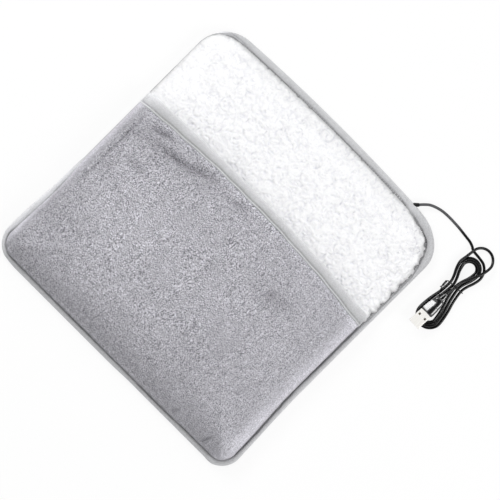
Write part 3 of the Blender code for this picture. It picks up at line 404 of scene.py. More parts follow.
def tape_material(name):
    """Smooth knitted tape: fine ribs, a little fuzz."""
    n = new_material(name)
    knit = n.add("ShaderNodeTexWave", {"Vector": n.places()}, Scale=380.0, Distortion=2.0, Detail=2.0)
    fuzz = n.noise(1100, detail=3, rough=0.6)
    base = n.shades(fuzz, TAPE_GREY, 0.86, 1.12, (0.36, 0.64))
    base = n.times(base, n.ramp(n.noise(70, detail=2), (0.3, 0.93), (0.7, 1.0)))
    # tone: painted shade in the seam's groove and stitch holes, painted light on the crest and the fold
    base = n.times(base, n.attribute("tone"))
    both = n.mix(0.5, knit.outputs["Fac"], fuzz)
    return n.set(
        Base_Color=base, Roughness=0.8, Normal=n.bump(both, 0.3, 0.0003), Sheen_Weight=0.35,
        Sheen_Roughness=0.4, Specular_IOR_Level=0.25,
    )


def rubber_material(name, colour=BLACK, rough=0.15, coat=0.0, gloss_level=0.3, dull_from=None):
    """Rubber or plastic. It is duller and greyer away from the place dull_from, where one is given: the grey
    is painted sheen.
    """
    n = new_material(name)
    fine = n.noise(2500, detail=2)
    broad = n.noise(90, detail=3)
    tone = n.shades(broad, colour, 0.8, 1.25)
    gloss = n.gloss(broad, rough)
    if dull_from:
        away = n.add("ShaderNodeVectorMath", {0: n.places(), 1: dull_from}, operation="DISTANCE")
        dull_and_sheen = n.ramp(away.outputs["Value"], (DULL_FROM, 0.0), (DULL_TO, 1.0))
        # painted sheen: greyer away from the place, with real added roughness
        tone = n.mix(dull_and_sheen, tone, PAINTED_SHEEN_BLACK)
        gloss = n.mix(dull_and_sheen, gloss, DULL_ROUGH)
    return n.set(
        Base_Color=tone, Roughness=gloss, Normal=n.bump(fine, 0.1, 0.0001), Specular_IOR_Level=gloss_level,
        Coat_Weight=coat, Coat_Roughness=0.12,
    )


def metal_material(name, colour, metallic, rough):
    """Drawn metal, with fine lines along it."""
    n = new_material(name)
    lines = n.noise(1.0, detail=2, at=n.stretched((3000, 60, 3000)))
    tone, gloss = n.shades(lines, colour, 0.93), n.gloss(lines, rough)
    return n.set(Base_Color=tone, Metallic=metallic, Roughness=gloss, Normal=n.bump(lines, 0.05, 0.00005))


def felt_material(name, colour):
    """Matted fibres."""
    n = new_material(name)
    fibres = n.noise(700, detail=5, rough=0.7, distortion=2.0)
    base = n.shades(fibres, colour, 0.85)
    return n.set(Base_Color=base, Roughness=0.95, Normal=n.bump(fibres, 0.4, 0.0004), Sheen_Weight=0.2)


PLUSH = plush_material("plush_grey")
SHERPA = sherpa_material("sherpa_white")
TAPE = tape_material("tape_grey")
CORD = rubber_material("cord_black", dull_from=HANK_WAIST)


# Cord, hank and tie


def beside(anchor, offset):
    """A place so far from another. It keeps the offset's own height, where it has one."""
    return (anchor[0] + offset[0], anchor[1] + offset[1], *offset[2:])


def sleeve_place(along):
    direction = Vector((math.cos(EXIT_ANGLE), math.sin(EXIT_ANGLE), 0))
    return Vector((*EXIT_PLACE, SEAM_Z)) + direction * along


def hank_place(x, y, z):
    """From the hank's own frame, with x across and y along it from the waist, to the object's."""
    turned = Matrix.Rotation(HANK_TURN, 3, "Z") @ Vector((x, y, z))
    return turned + Vector(HANK_WAIST)


def loop_offset(turn):
    """How many steps out from the innermost loop: in on the floor, round, and out again on top."""
    if turn <= HANK_TURNS_DOWN:
        return HANK_TURNS_DOWN - turn
    half = (turn - HANK_TURNS_DOWN) / 0.5
    if half <= 1:
        return -TURN_DIP * half * (1 - half)
    return turn - HANK_TURNS_DOWN - 0.5


def loop_plan(turn):
    """A place on the hank's loops. A turn starts at the +y end and goes round by +x."""
    step = (turn % 1) * LOOP_STEPS
    offset = loop_offset(turn)
    half = LOOP_HALF_WIDTH + LOOP_STEP * offset
    waist = WAIST_HALF + WAIST_STEP * offset
    side = 1 if step <= LOOP_STEPS / 2 else -1
    along = step if side > 0 else LOOP_STEPS - step
    if along < ARC_STEPS:
        angle = math.pi / 2 * (1 - along / ARC_STEPS)
        return side * half * math.cos(angle), UP_CENTRE + half * math.sin(angle)
    if along <= ARC_STEPS + RUN_STEPS:
        share = 1 - 2 * (along - ARC_STEPS) / RUN_STEPS
        reach = UP_CENTRE if share > 0 else DOWN_CENTRE
        return side * (half - (half - waist) * float(bell(share))), share * reach
    angle = -math.pi / 2 * (along - ARC_STEPS - RUN_STEPS) / ARC_STEPS
    return side * half * math.cos(angle), half * math.sin(angle) - DOWN_CENTRE


def layer_share(turn):
    climb = (turn - HANK_TURNS_DOWN) * LOOP_STEPS - ARC_STEPS
    return float(smooth(climb / RUN_STEPS))


def waist_lift(y):
    return WAIST_LIFT * float(bell(y / WAIST_LIFT_REACH))


def plug_direction():
    return Vector((-math.sin(PLUG_TURN), math.cos(PLUG_TURN), 0))


def plug_centre():
    """Where the shell meets the moulding, on the plug's axis."""
    z = CORD_FLOOR_Z + HANK_LAYER + CORD_D / 2 + TOUCH_GAP + MOULD_HEIGHT / 2
    return Vector((*beside(EXIT_PLACE, PLUG_FROM_EXIT), z))


def plug_rear():
    return plug_centre() - plug_direction() * (MOULD_LENGTH + NECK_LENGTH)


def hank_route():
    """The whole hank: its loops, the loose loop, and the lead that ends in the plug."""
    top_z = CORD_FLOOR_Z + HANK_LAYER
    lead_z = top_z + HANK_LAYER
    found = []
    for step in range(round(HANK_TURNS * LOOP_STEPS) + 1):
        turn = step / LOOP_STEPS
        x, y = loop_plan(turn)
        found.append((x, y, CORD_FLOOR_Z + HANK_LAYER * layer_share(turn) + waist_lift(y)))
    centre_x, centre_y = LOOSE_CENTRE
    from_x, from_y = found[-1][:2]
    side_x = centre_x - LOOSE_R
    for step in range(1, LOOSE_RUN_STEPS):
        share = step / LOOSE_RUN_STEPS
        x = from_x + (side_x - from_x) * float(smooth(share))
        found.append((x, from_y + (centre_y - from_y) * share, top_z))
    arc = math.pi * LOOSE_R
    climb = arc + centre_y - LOOSE_CLIMBED_Y
    for step in range(2 * ARC_STEPS + 1):
        angle = math.pi * (1 - step / (2 * ARC_STEPS))
        share = arc * step / (2 * ARC_STEPS) / climb
        z = top_z + HANK_LAYER * share - LOOSE_DROP * math.sin(math.pi * share) ** 2
        found.append((centre_x + LOOSE_R * math.cos(angle), centre_y + LOOSE_R * math.sin(angle), z))
    side_x = centre_x + LOOSE_R
    for y in (LOOSE_CLIMBED_Y, *(LOOSE_CLIMBED_Y * share for share in LEAD_SHARES)):
        x = side_x + (LEAD_WAIST_X - side_x) * float(bell(y / centre_y))
        found.append((x, y, lead_z + waist_lift(y)))
    end = plug_rear() - plug_direction() * TOUCH_GAP
    return [hank_place(*p) for p in found] + [end - plug_direction() * CORD_D, end]


def tie_route():
    """A wire round the waist, its two ends twisted together beside it."""
    reach = CORD_D / 2 + TIE_CLEARANCE + TIE_D / 2
    right = WAIST_HALF + WAIST_STEP * loop_offset(0.25)
    left = -WAIST_HALF - WAIST_STEP * loop_offset(0.75)
    heights = [CORD_FLOOR_Z + WAIST_LIFT + layers * HANK_LAYER for layers in (0, 1, 2)]
    strands = ((left, heights[1]), (LEAD_WAIST_X, heights[2]), (right, heights[0]), (left, heights[0]))
    around = []
    for before, strand, after in zip(strands[-1:] + strands[:-1], strands, strands[1:] + strands[:1]):
        normals = [math.atan2(b[0] - a[0], a[1] - b[1]) for a, b in ((before, strand), (strand, after))]
        turn = (normals[0] - normals[1]) % (2 * math.pi)
        for share in TIE_BEND_SHARES:
            angle = normals[0] - turn * share
            around.append((strand[0] + reach * math.cos(angle), 0, strand[1] + reach * math.sin(angle)))
    twist_x, twist_z = left - reach - TIE_KNOT_OUT, (heights[0] + heights[1]) / 2
    steps = TIE_TWIST_TURNS * TIE_TWIST_STEPS
    twists = []
    for phase in (math.pi / 2, -math.pi / 2):
        twist = []
        for i in range(steps + 1):
            angle = phase + 2 * math.pi * i / TIE_TWIST_STEPS
            x, z = twist_x + TIE_TWIST_R * math.cos(angle), twist_z + TIE_TWIST_R * math.sin(angle)
            twist.append((x, -TIE_D - TIE_TWIST_LENGTH * i / steps, z))
        twists.append(twist)
    first, second = twists
    end_x, end_y, end_z = second[-1]
    short_tail = (end_x - TIE_D, end_y - TIE_SHORT_TAIL, end_z - TIE_TWIST_R)
    found = [*TIE_TAIL[::-1], *first[::-1], *around, *second, short_tail]
    return [hank_place(*p) for p in found]


CORD_LINE_STEPS = 5
TIE_LINE_STEPS = 3


def smooth_line(places, steps):
    """Catmull-Rom points through the places, with so many steps between each two."""
    p = np.array([tuple(place) for place in places], float)
    p = np.vstack([2 * p[0] - p[1], p, 2 * p[-1] - p[-2]])
    found = []
    for a, b, c, d in zip(p, p[1:], p[2:], p[3:]):
        for t in np.arange(steps) / steps:
            bend = (2 * a - 5 * b + 4 * c - d) * t**2 + (3 * b - a - 3 * c + d) * t**3
            found.append(0.5 * (2 * b + (c - a) * t + bend))
    return np.array(found + [p[-2]])


def curve_piece(name, points, diameter, material, resolution=4):
    data = bpy.data.curves.new(name, "CURVE")
    data.dimensions = "3D"
    data.bevel_depth = diameter / 2
    data.bevel_resolution = resolution
    data.use_fill_caps = True
    spline = data.splines.new("POLY")
    spline.points.add(len(points) - 1)
    for point, place in zip(spline.points, points):
        point.co = (*place, 1)
    spline.use_smooth = True
    data.materials.append(material)
    return linked(name, data)


def cord_pieces():
    start = [sleeve_place(SLEEVE_OUTSIDE + far) for far in (-SLEEVE_OVERLAP, TOUCH_GAP + CORD_D)]
    middle = [beside(EXIT_PLACE, p) for p in CORD_ROUTE_FROM_EXIT]
    cord_points = smooth_line([*start, *middle, *hank_route()], CORD_LINE_STEPS)
    cord = curve_piece("cord_line", cord_points, CORD_D, CORD, 5)
    tie_points = smooth_line(tie_route(), TIE_LINE_STEPS)
    tie = curve_piece("cord_tie", tie_points, TIE_D, rubber_material("tie_black", rough=0.4))
    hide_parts("wire_tie")
    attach(tie, "pad")
    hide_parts("cord", "cord_hank")
    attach(cord, "pad")
    on_it = [tie, plug_moulding(), "usb_shell", "usb_tongue", *USB_CONTACTS]


# Meshes


def mesh_piece(name, points, faces, material, smooth_angle=60):
    """A smooth mesh, with sharp edges where its faces meet at more than the angle."""
    mesh = bpy.data.meshes.new(name)
    mesh.from_pydata(points, [], faces)
    mesh.validate()
    mesh.shade_smooth()
    if smooth_angle:
        mesh.set_sharp_from_angle(angle=math.radians(smooth_angle))
    mesh.materials.append(material)
    return linked(name, mesh)


def set_values(made, name, values):
    """A number at each point, 1 at the points that come after the given ones."""
    full = np.ones(len(made.data.vertices), np.float32)
    full[: values.size] = values.ravel()
    made.data.attributes.new(name, "FLOAT", "POINT").data.foreach_set("value", full)


def normals_of(p):
    """Unit normals of a grid of points, upwards where rows run along +Y and columns along +X."""
    n = np.cross(np.gradient(p, axis=1), np.gradient(p, axis=0))
    return n / np.maximum(np.linalg.norm(n, axis=2, keepdims=True), 1e-12)


def quads_of(index):
    """The four corners of each cell in a grid of point numbers."""
    corners = [index[:-1, :-1], index[:-1, 1:], index[1:, 1:], index[1:, :-1]]
    return np.stack(corners, axis=-1).reshape(-1, 4)


def shell(name, top, low, material, depth=1.0, tone=1.0, skip=3, flip=False):
    """A closed piece between a dense grid of points and every skip-th point of another."""
    rows, columns = top.shape[:2]
    index = np.arange(rows * columns).reshape(rows, columns)
    row_picks = list(range(0, rows - 1, skip)) + [rows - 1]
    column_picks = list(range(0, columns - 1, skip)) + [columns - 1]
    under = low[np.ix_(row_picks, column_picks)]
    coarse = rows * columns + np.arange(under.shape[0] * under.shape[1]).reshape(under.shape[:2])
    faces = quads_of(index).tolist() + quads_of(coarse)[:, [0, 3, 2, 1]].tolist()

    def rim(dense, sparse, picks, turned):
        for a, b, start, end in zip(sparse, sparse[1:], picks, picks[1:]):
            line = dense[start : end + 1]
            middle = len(line) // 2
            parts = [(a, line[i + 1], line[i]) for i in range(middle)]
            parts.append((a, b, line[middle]))
            parts += [(b, line[i + 1], line[i]) for i in range(middle, len(line) - 1)]
            faces.extend(part[::-1] if turned else part for part in parts)

    rim(index[0], coarse[0], column_picks, False)
    rim(index[-1], coarse[-1], column_picks, True)
    rim(index[:, 0], coarse[:, 0], row_picks, True)
    rim(index[:, -1], coarse[:, -1], row_picks, False)
    if flip:
        faces = [face[::-1] for face in faces]
    made = mesh_piece(name, np.vstack([top.reshape(-1, 3), under.reshape(-1, 3)]), faces, material)
    set_values(made, "depth", np.ones(index.shape) * depth)
    set_values(made, "tone", np.ones(index.shape) * tone)
    return made


def sweep(name, sections, material, closed=True, tone=1.0, smooth_angle=60):
    """A tube of rings. It closes on itself, or else its ends are capped."""
    sections = np.array(sections, float)
    count, size = sections.shape[:2]
    index = np.arange(count * size).reshape(count, size)
    following = np.roll(index, -1, axis=0) if closed else index[1:]
    here = index if closed else index[:-1]
    quads = np.stack([here, np.roll(here, -1, axis=1), np.roll(following, -1, axis=1), following], axis=-1)
    faces = quads.reshape(-1, 4).tolist()
    if not closed:
        faces += [index[0][::-1].tolist(), index[-1].tolist()]
    made = mesh_piece(name, sections.reshape(-1, 3), faces, material, smooth_angle)
    bm = bmesh.new()
    bm.from_mesh(made.data)
    bmesh.ops.recalc_face_normals(bm, faces=bm.faces)
    bm.to_mesh(made.data)
    bm.free()
    set_values(made, "tone", np.ones(count * size) * tone)
    return made


# Moulding of the plug: a rounded grip, a step, a slimmer back, and the neck that the cord comes out of

# distance behind the shell, half width and half height
MOULD_PROFILE = (
    (0.0000, 0.0054, 0.0027), (0.0004, 0.0060, 0.0032), (0.0016, 0.0063, 0.0035), (0.0060, 0.0062, 0.0036),
    (0.0088, 0.0060, 0.0035), (0.0095, 0.0058, 0.0034), (0.0104, 0.0056, 0.0033), (0.0140, 0.0054, 0.0033),
    (0.0168, 0.0047, 0.0031), (0.0180, 0.0036, 0.0027), (0.0186, 0.0027, 0.0024), (0.0210, 0.0025, 0.0024),
    (0.0236, 0.0022, 0.0022), (0.0244, 0.0017, 0.0017),
)
MOULD_SIDES = 40
MOULD_SQUARENESS = 0.80
FACET_SLOPE = 0.48
FACET_START = -0.0004
FACET_END, FACET_FADE = 0.0160, 0.003


def plug_moulding():
    """The grip, with its top bevelled towards the pad, as it catches the light in the photo."""
    ahead = plug_direction()
    across = Vector((ahead.y, -ahead.x, 0))
    sections = []
    for back, half_width, half_height in smooth_line(MOULD_PROFILE, 3):
        centre = plug_centre() - ahead * back
        ring = []
        for k in range(MOULD_SIDES):
            a = 2 * math.pi * k / MOULD_SIDES
            c, s = math.cos(a), math.sin(a)
            x = half_width * math.copysign(abs(c) ** MOULD_SQUARENESS, c)
            z = half_height * math.copysign(abs(s) ** MOULD_SQUARENESS, s)
            if z > 0:
                facet = FACET_SLOPE * (x - FACET_START) * fade(back, FACET_END, FACET_FADE)
                z = min(z, half_height - facet)
            ring.append(tuple(centre + across * x + Vector((0, 0, z))))
        sections.append(ring)
    material = rubber_material("moulding_black", rough=0.22, coat=1.0, gloss_level=1.0)
    made = sweep("plug_moulding", sections, material, closed=False)
    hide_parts("usb_moulding")
    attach(made, "pad")
    return made


cord_pieces()


# Plan of the pad, as in part.py


def inset_of(x, y):
    """How far inside the plan's edge each point lies."""
    corner = np.where(y < 0, CLOSED_CORNER_R, OPEN_CORNER_R)
    over_x = np.abs(x) - (HALF_WIDTH - corner)
    over_y = np.abs(y) - (HALF_LENGTH - corner)
    beyond = np.hypot(np.maximum(over_x, 0), np.maximum(over_y, 0))
    return corner - beyond - np.minimum(np.maximum(over_x, over_y), 0)


def half_width_at(y, inset):
    corner = np.where(y < 0, CLOSED_CORNER_R, OPEN_CORNER_R) - inset
    over = np.maximum(np.abs(y) - (HALF_LENGTH - inset - corner), 0)
    return HALF_WIDTH - inset - corner + np.sqrt(np.maximum(corner**2 - over**2, 0))


def warp(x, y):
    """The sewn outline: flared at the closed corners, with a bowed top edge."""
    flare = fade(y, FLARE_RUN - HALF_LENGTH, FLARE_RUN)
    bow = np.clip(y / HALF_LENGTH, 0, 1) ** 2 * (x / HALF_WIDTH) ** 2
    return x * (1 + SIDE_FLARE / HALF_WIDTH * flare), y - TOP_BOW * bow


def sewn(x, y, height):
    """The sewn surface over flat plan points."""
    sewn_x, sewn_y = warp(x, y)
    return np.stack([sewn_x, sewn_y, height], axis=-1)


def spaced_levels(height_at, start, end, step):
    """Insets at even steps along the slope of a surface that rises from the edge."""
    d = start + (end - start) * np.linspace(0, 1, 4001) ** 2
    run = np.concatenate([[0], np.cumsum(np.hypot(np.diff(d), np.diff(height_at(d))))])
    return np.interp(np.linspace(0, run[-1], round(run[-1] / step) + 1), run, d)


def row_grid(rows, shares, inset):
    """Plan points in rows, each at shares of the half width that the plan has there at the inset."""
    y = np.repeat(rows[:, None], len(shares), axis=1)
    return half_width_at(y, inset) * shares[None, :], y


def plan_grid(inset, rows, levels):
    """Plan points in rows, from side to side, at the levels' insets in the straight part."""
    right = 1 - (np.sort(levels)[::-1] - inset) / (HALF_WIDTH - inset)
    right = right[right > 1e-6]
    return row_grid(rows, np.concatenate([-right[::-1], right]), inset)


def steps_along(start, end, step):
    return np.linspace(start, end, max(2, round(abs(end - start) / step) + 1))


# Where the tape ends and the sherpa begins, as insets, and what the front's seam adds

LEFT_COVER = 0.0012
TOP_COVER = 0.0080
CORNER_COVER = 0.0095
RIGHT_COVER = 0.0050
EXIT_COVER = 0.0026
EXIT_COVER_SPOT = ((0.119, 0.143), 0.022)
SEAM_WIDTH = 0.0015
LEAST_REACH = 0.0030
FRONT_SEAM = 0.0050
CLOSED_EXTRA = 0.0010
RIGHT_TUCK = 0.0006
CLOSED_TUCK = 0.0009


def tuck(x, y):
    """How much further in the front's seam lies: at the right, and at the right of the closed end."""
    by_right = rise(x, 0.125, 0.010)
    right = RIGHT_TUCK * by_right * rise(y, -0.100, 0.040)
    return right + CLOSED_TUCK * rise(x, 0.075, 0.020) * fade(y, -0.130, 0.010) * (1 - by_right)


def sherpa_start(x, y):
    """Inset at which the sherpa comes up beside the tape. At the left it hangs over the tape."""
    corner = rise(x, 0.090, 0.035) * rise(y, 0.100, 0.030)
    right = mixed(TOP_COVER, RIGHT_COVER, rise(x, 0.120, 0.022) * (1 - corner))
    right = mixed(right, CORNER_COVER, corner) + EXIT_COVER * spot(x, y, *EXIT_COVER_SPOT)
    return mixed(LEFT_COVER, right, rise(x, -HALF_WIDTH, 0.034))


def tape_reach(x, y):
    """Inset of the seam at the tape's inner side."""
    beside_sherpa = np.maximum(sherpa_start(x, y) - SEAM_WIDTH, LEAST_REACH)
    beside_plush = FRONT_SEAM + CLOSED_EXTRA * fade(y, -0.126, 0.016) + tuck(x, y)
    return mixed(beside_plush, beside_sherpa, rise(y, 0.036, 0.012))


# Curly yarn, drawn as overlapping arcs on a raster over the whole plan

RASTER_STEP = 0.0005
RASTER_HALF = 0.156
CURL_PITCH = 0.0030
CURL_RADII = (0.0026, 0.0068)
CURL_SWEEP = (1.4, 3.6)
YARN_HALF = (0.0010, 0.0017)
YARN_TOPS = (0.55, 1.0)
CREVICE_PITCH = 0.0054
CREVICE_RADII = (0.0028, 0.0085)
CREVICE_SWEEP = (1.0, 2.6)
CREVICE_HALF = (0.00050, 0.00110)
CREVICE_TOPS = (0.3, 1.0)


def arc_raster(seed, pitch, radii, sweeps, halves, tops):
    """Arcs scattered over the plan, each a rounded ridge: the highest ridge's value, and 0 between them."""
    rng = np.random.default_rng(seed)
    places = np.arange(round(2 * RASTER_HALF / RASTER_STEP) + 1) * RASTER_STEP - RASTER_HALF
    height = np.zeros((len(places), len(places)), np.float32)
    marks = np.arange(-RASTER_HALF, RASTER_HALF, pitch)
    for mark_y in marks:
        for mark_x in marks:
            at = np.array([mark_x, mark_y]) + rng.random(2) * pitch
            radius = rng.uniform(*radii)
            sweep_half = rng.uniform(*sweeps) / 2 * min(1, radii[0] / radius + 0.35)
            half = rng.uniform(*halves)
            top = rng.uniform(*tops)
            facing = rng.uniform(0, 2 * math.pi)
            wiggle, phase = rng.uniform(0.1, 0.3), rng.uniform(0, 2 * math.pi)
            # the mark is the middle of the arc, so the circle's centre lies a radius away
            centre = at - radius * np.array([math.cos(facing), math.sin(facing)])
            reach = radius * min(2.0, sweep_half) + half
            low_x, low_y = np.maximum(((at - reach + RASTER_HALF) / RASTER_STEP).astype(int), 0)
            high_x, high_y = ((at + reach + RASTER_HALF) / RASTER_STEP).astype(int) + 2
            part = height[low_y:high_y, low_x:high_x]
            if not part.size:
                continue
            x = places[low_x:high_x] - centre[0]
            y = (places[low_y:high_y] - centre[1])[:, None]
            turn = (np.arctan2(y, x) - facing + math.pi) % (2 * math.pi) - math.pi
            off = np.hypot(x, y) - radius * (1 + wiggle * 0.25 * np.sin(3 * turn + phase))
            past = np.maximum(np.abs(turn) - sweep_half, 0) * radius
            share = np.clip(1 - (off**2 + past**2) / half**2, 0, 1)
            np.maximum(part, (top * share**0.6).astype(np.float32), out=part)
    return height


def raster_at(raster, x, y):
    """The raster's value at each place, mixed from its four neighbours."""
    u, v = [np.clip((p + RASTER_HALF) / RASTER_STEP, 0, len(raster) - 1.001) for p in (x, y)]
    i, j = u.astype(int), v.astype(int)
    fu, fv = u - i, v - j
    low = raster[j, i] * (1 - fu) + raster[j, i + 1] * fu
    high = raster[j + 1, i] * (1 - fu) + raster[j + 1, i + 1] * fu
    return low * (1 - fv) + high * fv


YARN = arc_raster(11, CURL_PITCH, CURL_RADII, CURL_SWEEP, YARN_HALF, YARN_TOPS)
CREVICES = arc_raster(12, CREVICE_PITCH, CREVICE_RADII, CREVICE_SWEEP, CREVICE_HALF, CREVICE_TOPS)


# Sherpa lining of the back

SHERPA_INSET = 0.0012
SHERPA_STEP = 0.00085
SHERPA_HIDDEN_STEP = 0.0024
SHERPA_RISE = 0.0019
SHERPA_SINK = 0.0006
BORDER_PUFF = 0.0012
HANG_PUFF = 0.0010
CURL_HEIGHT = 0.0021
CURL_MIDDLE = 0.72
CURL_LEAST = 0.35
LEAST_START = 0.0014
LUMP_HEIGHT = 0.0011
CREVICE_DEPTH = 0.0013
RAGGED = 0.0009
RAGGED_RIGHT = 0.0015
LINING_LOW_Z = 0.0045
LINING_LOW_RISE = 0.0057
LEAST_WALL = 0.0008


def back_height(inset, start=TAPE_INSIDE):
    run = BACK_ROLL + TAPE_INSIDE - start
    return BACK_EDGE_Z + (BACK_TOP_Z - BACK_EDGE_Z) * roll((inset - start) / run)


def sherpa_plan():
    """Plan points, in rows that lie close together where the lining shows and further apart in the pocket."""
    levels = spaced_levels(back_height, 0.0040, HALF_WIDTH, SHERPA_STEP)
    levels = np.concatenate([[SHERPA_INSET], np.arange(0.0018, 0.0040, 0.0007), levels])
    near = levels[levels < 0.045]
    hidden = steps_along(-HALF_LENGTH + TAPE_INSIDE, 0.018, SHERPA_HIDDEN_STEP)
    shown = steps_along(0.0188, HALF_LENGTH - near[-1], SHERPA_STEP)
    closed_end = -HALF_LENGTH + np.array([SHERPA_INSET, 0.0045])
    rows = np.concatenate([closed_end, hidden, shown, HALF_LENGTH - near[::-1][1:]])
    return plan_grid(SHERPA_INSET, rows, levels)


def ragged_start(x, y, shown):
    """Where the sherpa comes up, with a ragged border that is coarser at the right side."""
    start = mixed(TAPE_INSIDE, sherpa_start(x, y), shown)
    coarse = rise(x, 0.110, 0.012) * np.clip(1.8 * noise(x, y, 0.0054, 77), -1, 1)
    ragged = RAGGED * fractal(x, y, 0.0050, 31) + RAGGED_RIGHT * coarse
    return np.maximum(start + ragged * shown, LEAST_START)


def sherpa_back():
    x, y = sherpa_plan()
    d = inset_of(x, y)
    shown = rise(y, 0.020, 0.020)
    start = ragged_start(x, y, shown)
    risen = rise(d, start, SHERPA_RISE)
    hang = np.maximum(fade(start, 0.0058, 0.003), 0.9 * rise(x, 0.116, 0.008)) * shown
    height = back_height(d, start) + (BORDER_PUFF + HANG_PUFF * hang) * risen * fade(d, 0.020, 0.012)
    height = np.where(d < start, BACK_EDGE_Z - SHERPA_SINK, height)
    base = sewn(x, y, height)
    n = normals_of(base)
    n[..., 2] = np.maximum(n[..., 2], 0.35)
    knots = np.maximum(raster_at(YARN, x, y), CURL_LEAST)
    lumps = fractal(x, y, 0.017, 21, 2)
    crevices = raster_at(CREVICES, x, y) * np.clip(0.75 - 0.6 * lumps, 0.2, 1)
    # the lining is plainer at the left, and brighter there with painted light and less painted shade in its
    # crevices
    plain_lit_left = fade(x, -0.085, 0.055)
    crevices = crevices * (1 - 0.40 * plain_lit_left)
    knots = mixed(knots, 0.9, 0.35 * plain_lit_left)
    move = CURL_HEIGHT * (knots - CURL_MIDDLE) + LUMP_HEIGHT * lumps - CREVICE_DEPTH * crevices
    top = base + n * (move * risen)[..., None]
    low_z = LINING_LOW_Z + LINING_LOW_RISE * roll((d - TAPE_INSIDE) / 0.018)
    low = sewn(x, y, np.minimum(low_z, top[..., 2] - LEAST_WALL))
    # depth: painted shade between the curls and in the crevices
    depth = mixed(1.0, 0.35 + 0.65 * knots - 0.55 * crevices, risen)
    # painted shadow of the band beside it, painted shade where the sherpa rises by the tape, and painted
    # shade near the top edge
    beside_band = mixed(0.94, 1.0, smooth((y + MOUTH_SLANT * x - MOUTH_Y - 0.0035) / 0.008))
    by_top = bell((d - 0.013) / 0.012) * rise(y, 0.115, 0.010) * (1 - plain_lit_left)
    tone = beside_band * mixed(0.72, 1.0, rise(d, start, 0.0028))
    tone = tone * (1 - 0.06 * by_top) * (1 + 0.025 * plain_lit_left)
    piece = shell("sherpa_lining", top, low, SHERPA, depth, tone, skip=6)
    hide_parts("back_lining")
    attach(piece, "pad")


sherpa_back()


# Plush of the back

UNDER_INSET = 0.0016
UNDER_STEP = 0.0016
UNDER_LIFT = 0.0027
UNDER_TOP_Z = 0.0042
UNDER_TOP_DROP = 0.0016
UNDER_PILE = 0.00025
UNDER_PUCKER = 0.0005


def plush_back():
    levels = np.concatenate([[UNDER_INSET, 0.0050], np.arange(TAPE_INSIDE, HALF_WIDTH, UNDER_STEP)])
    far = HALF_LENGTH - levels[:2]
    middle = steps_along(TAPE_INSIDE - HALF_LENGTH, HALF_LENGTH - TAPE_INSIDE, UNDER_STEP)
    x, y = plan_grid(UNDER_INSET, np.concatenate([-far, middle, far[::-1]]), levels)
    d = inset_of(x, y)
    rolled = rise(d, TAPE_INSIDE, 0.016)
    pile = fractal(x, y, 0.0040, 61, 2)
    puckers = 0.5 + 0.5 * np.sin(np.where(np.abs(x) > np.abs(y), y, x) / 0.0021 + 3 * noise(x, y, 0.02, 9))
    low_z = UNDER_LIFT * (1 - rolled) + UNDER_PILE * (pile + 1)
    low_z = low_z + UNDER_PUCKER * puckers * bell((d - 0.014) / 0.012)
    low = sewn(x, y, np.maximum(low_z, 0.0))
    top = sewn(x, y, UNDER_TOP_Z - UNDER_TOP_DROP * rolled)
    # depth: painted shade in the pile's low spots; tone: a little darker towards the edge
    piece = shell("plush_back", low, top, PLUSH, 0.5 + 0.4 * pile, 0.95 + 0.1 * rolled, skip=4, flip=True)
    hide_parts("back_panel")
    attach(piece, "pad")


plush_back()


# Edge binding

TAPE_STEP = 0.0010
TAPE_WALL = 0.0009
SEAM_DIP = 0.0017
STITCH_DIP = 0.0004
STITCH_PITCH = 0.0027
UNDER_ROUND = 0.0036
LEAST_CREST = 0.0014
SEAM_WAVE = 0.00030
SEAM_JITTER = 0.00045
TAPE_SWELL = 0.00022
CORNER_PULL = 0.0020
CORNER_PULL_SPOT = ((0.004 - HALF_WIDTH, 0.004 - HALF_LENGTH), 0.030)
EXIT_PULL = 0.0014
EXIT_PULL_SPOT = ((0.126, 0.149), 0.026)
EXIT_SHALLOW_REACH = 0.012
# spot of painted shadow dashes by the cord's corner
SHADOW_DASHES_SPOT = ((0.1327, 0.1450), 0.020)


def edge_line(step):
    """Places all round the flat plan, with the inward direction, and the distance run."""
    corners = (
        (1, -1, CLOSED_CORNER_R, -90), (1, 1, OPEN_CORNER_R, 0),
        (-1, 1, OPEN_CORNER_R, 90), (-1, -1, CLOSED_CORNER_R, 180),
    )
    arcs = []
    for sign_x, sign_y, corner, start in corners:
        centre = np.array([sign_x * (HALF_WIDTH - corner), sign_y * (HALF_LENGTH - corner)])
        angles = np.radians(np.linspace(start, start + 90, round(corner * math.pi / 2 / step) + 1))
        outward = np.stack([np.cos(angles), np.sin(angles)], axis=-1)
        arcs.append((centre + corner * outward, -outward))
    found = []
    for (points, inward), (following, _) in zip(arcs, arcs[1:] + arcs[:1]):
        found += list(zip(points, inward))
        count = round(np.linalg.norm(following[0] - points[-1]) / step)
        found += [(mixed(points[-1], following[0], k / count), inward[-1]) for k in range(1, count)]
    places, inwards = [np.array(part) for part in zip(*found)]
    run = np.concatenate([[0], np.cumsum(np.linalg.norm(np.diff(places, axis=0), axis=1))])
    return places, inwards, run


def edge_pull(x, y):
    """How far the tape's outer side is drawn in: at two corners, at the left, and by the closed end."""
    middle = 0.0014 * rise(y, -0.050, 0.025) * (1 - rise(y, 0.030, 0.020))
    low = -0.0007 * fade(y, -0.070, 0.030)
    left = fade(x, -0.138, 0.006) * (middle + low + 0.0014 * rise(y, 0.020, 0.015))
    closed = fade(y, -0.145, 0.004) * (0.0003 + 0.0007 * rise(x, 0, 0.03)) * (1 - rise(x, 0.122, 0.012))
    corners = CORNER_PULL * spot(x, y, *CORNER_PULL_SPOT) + EXIT_PULL * spot(x, y, *EXIT_PULL_SPOT)
    return left + closed + corners


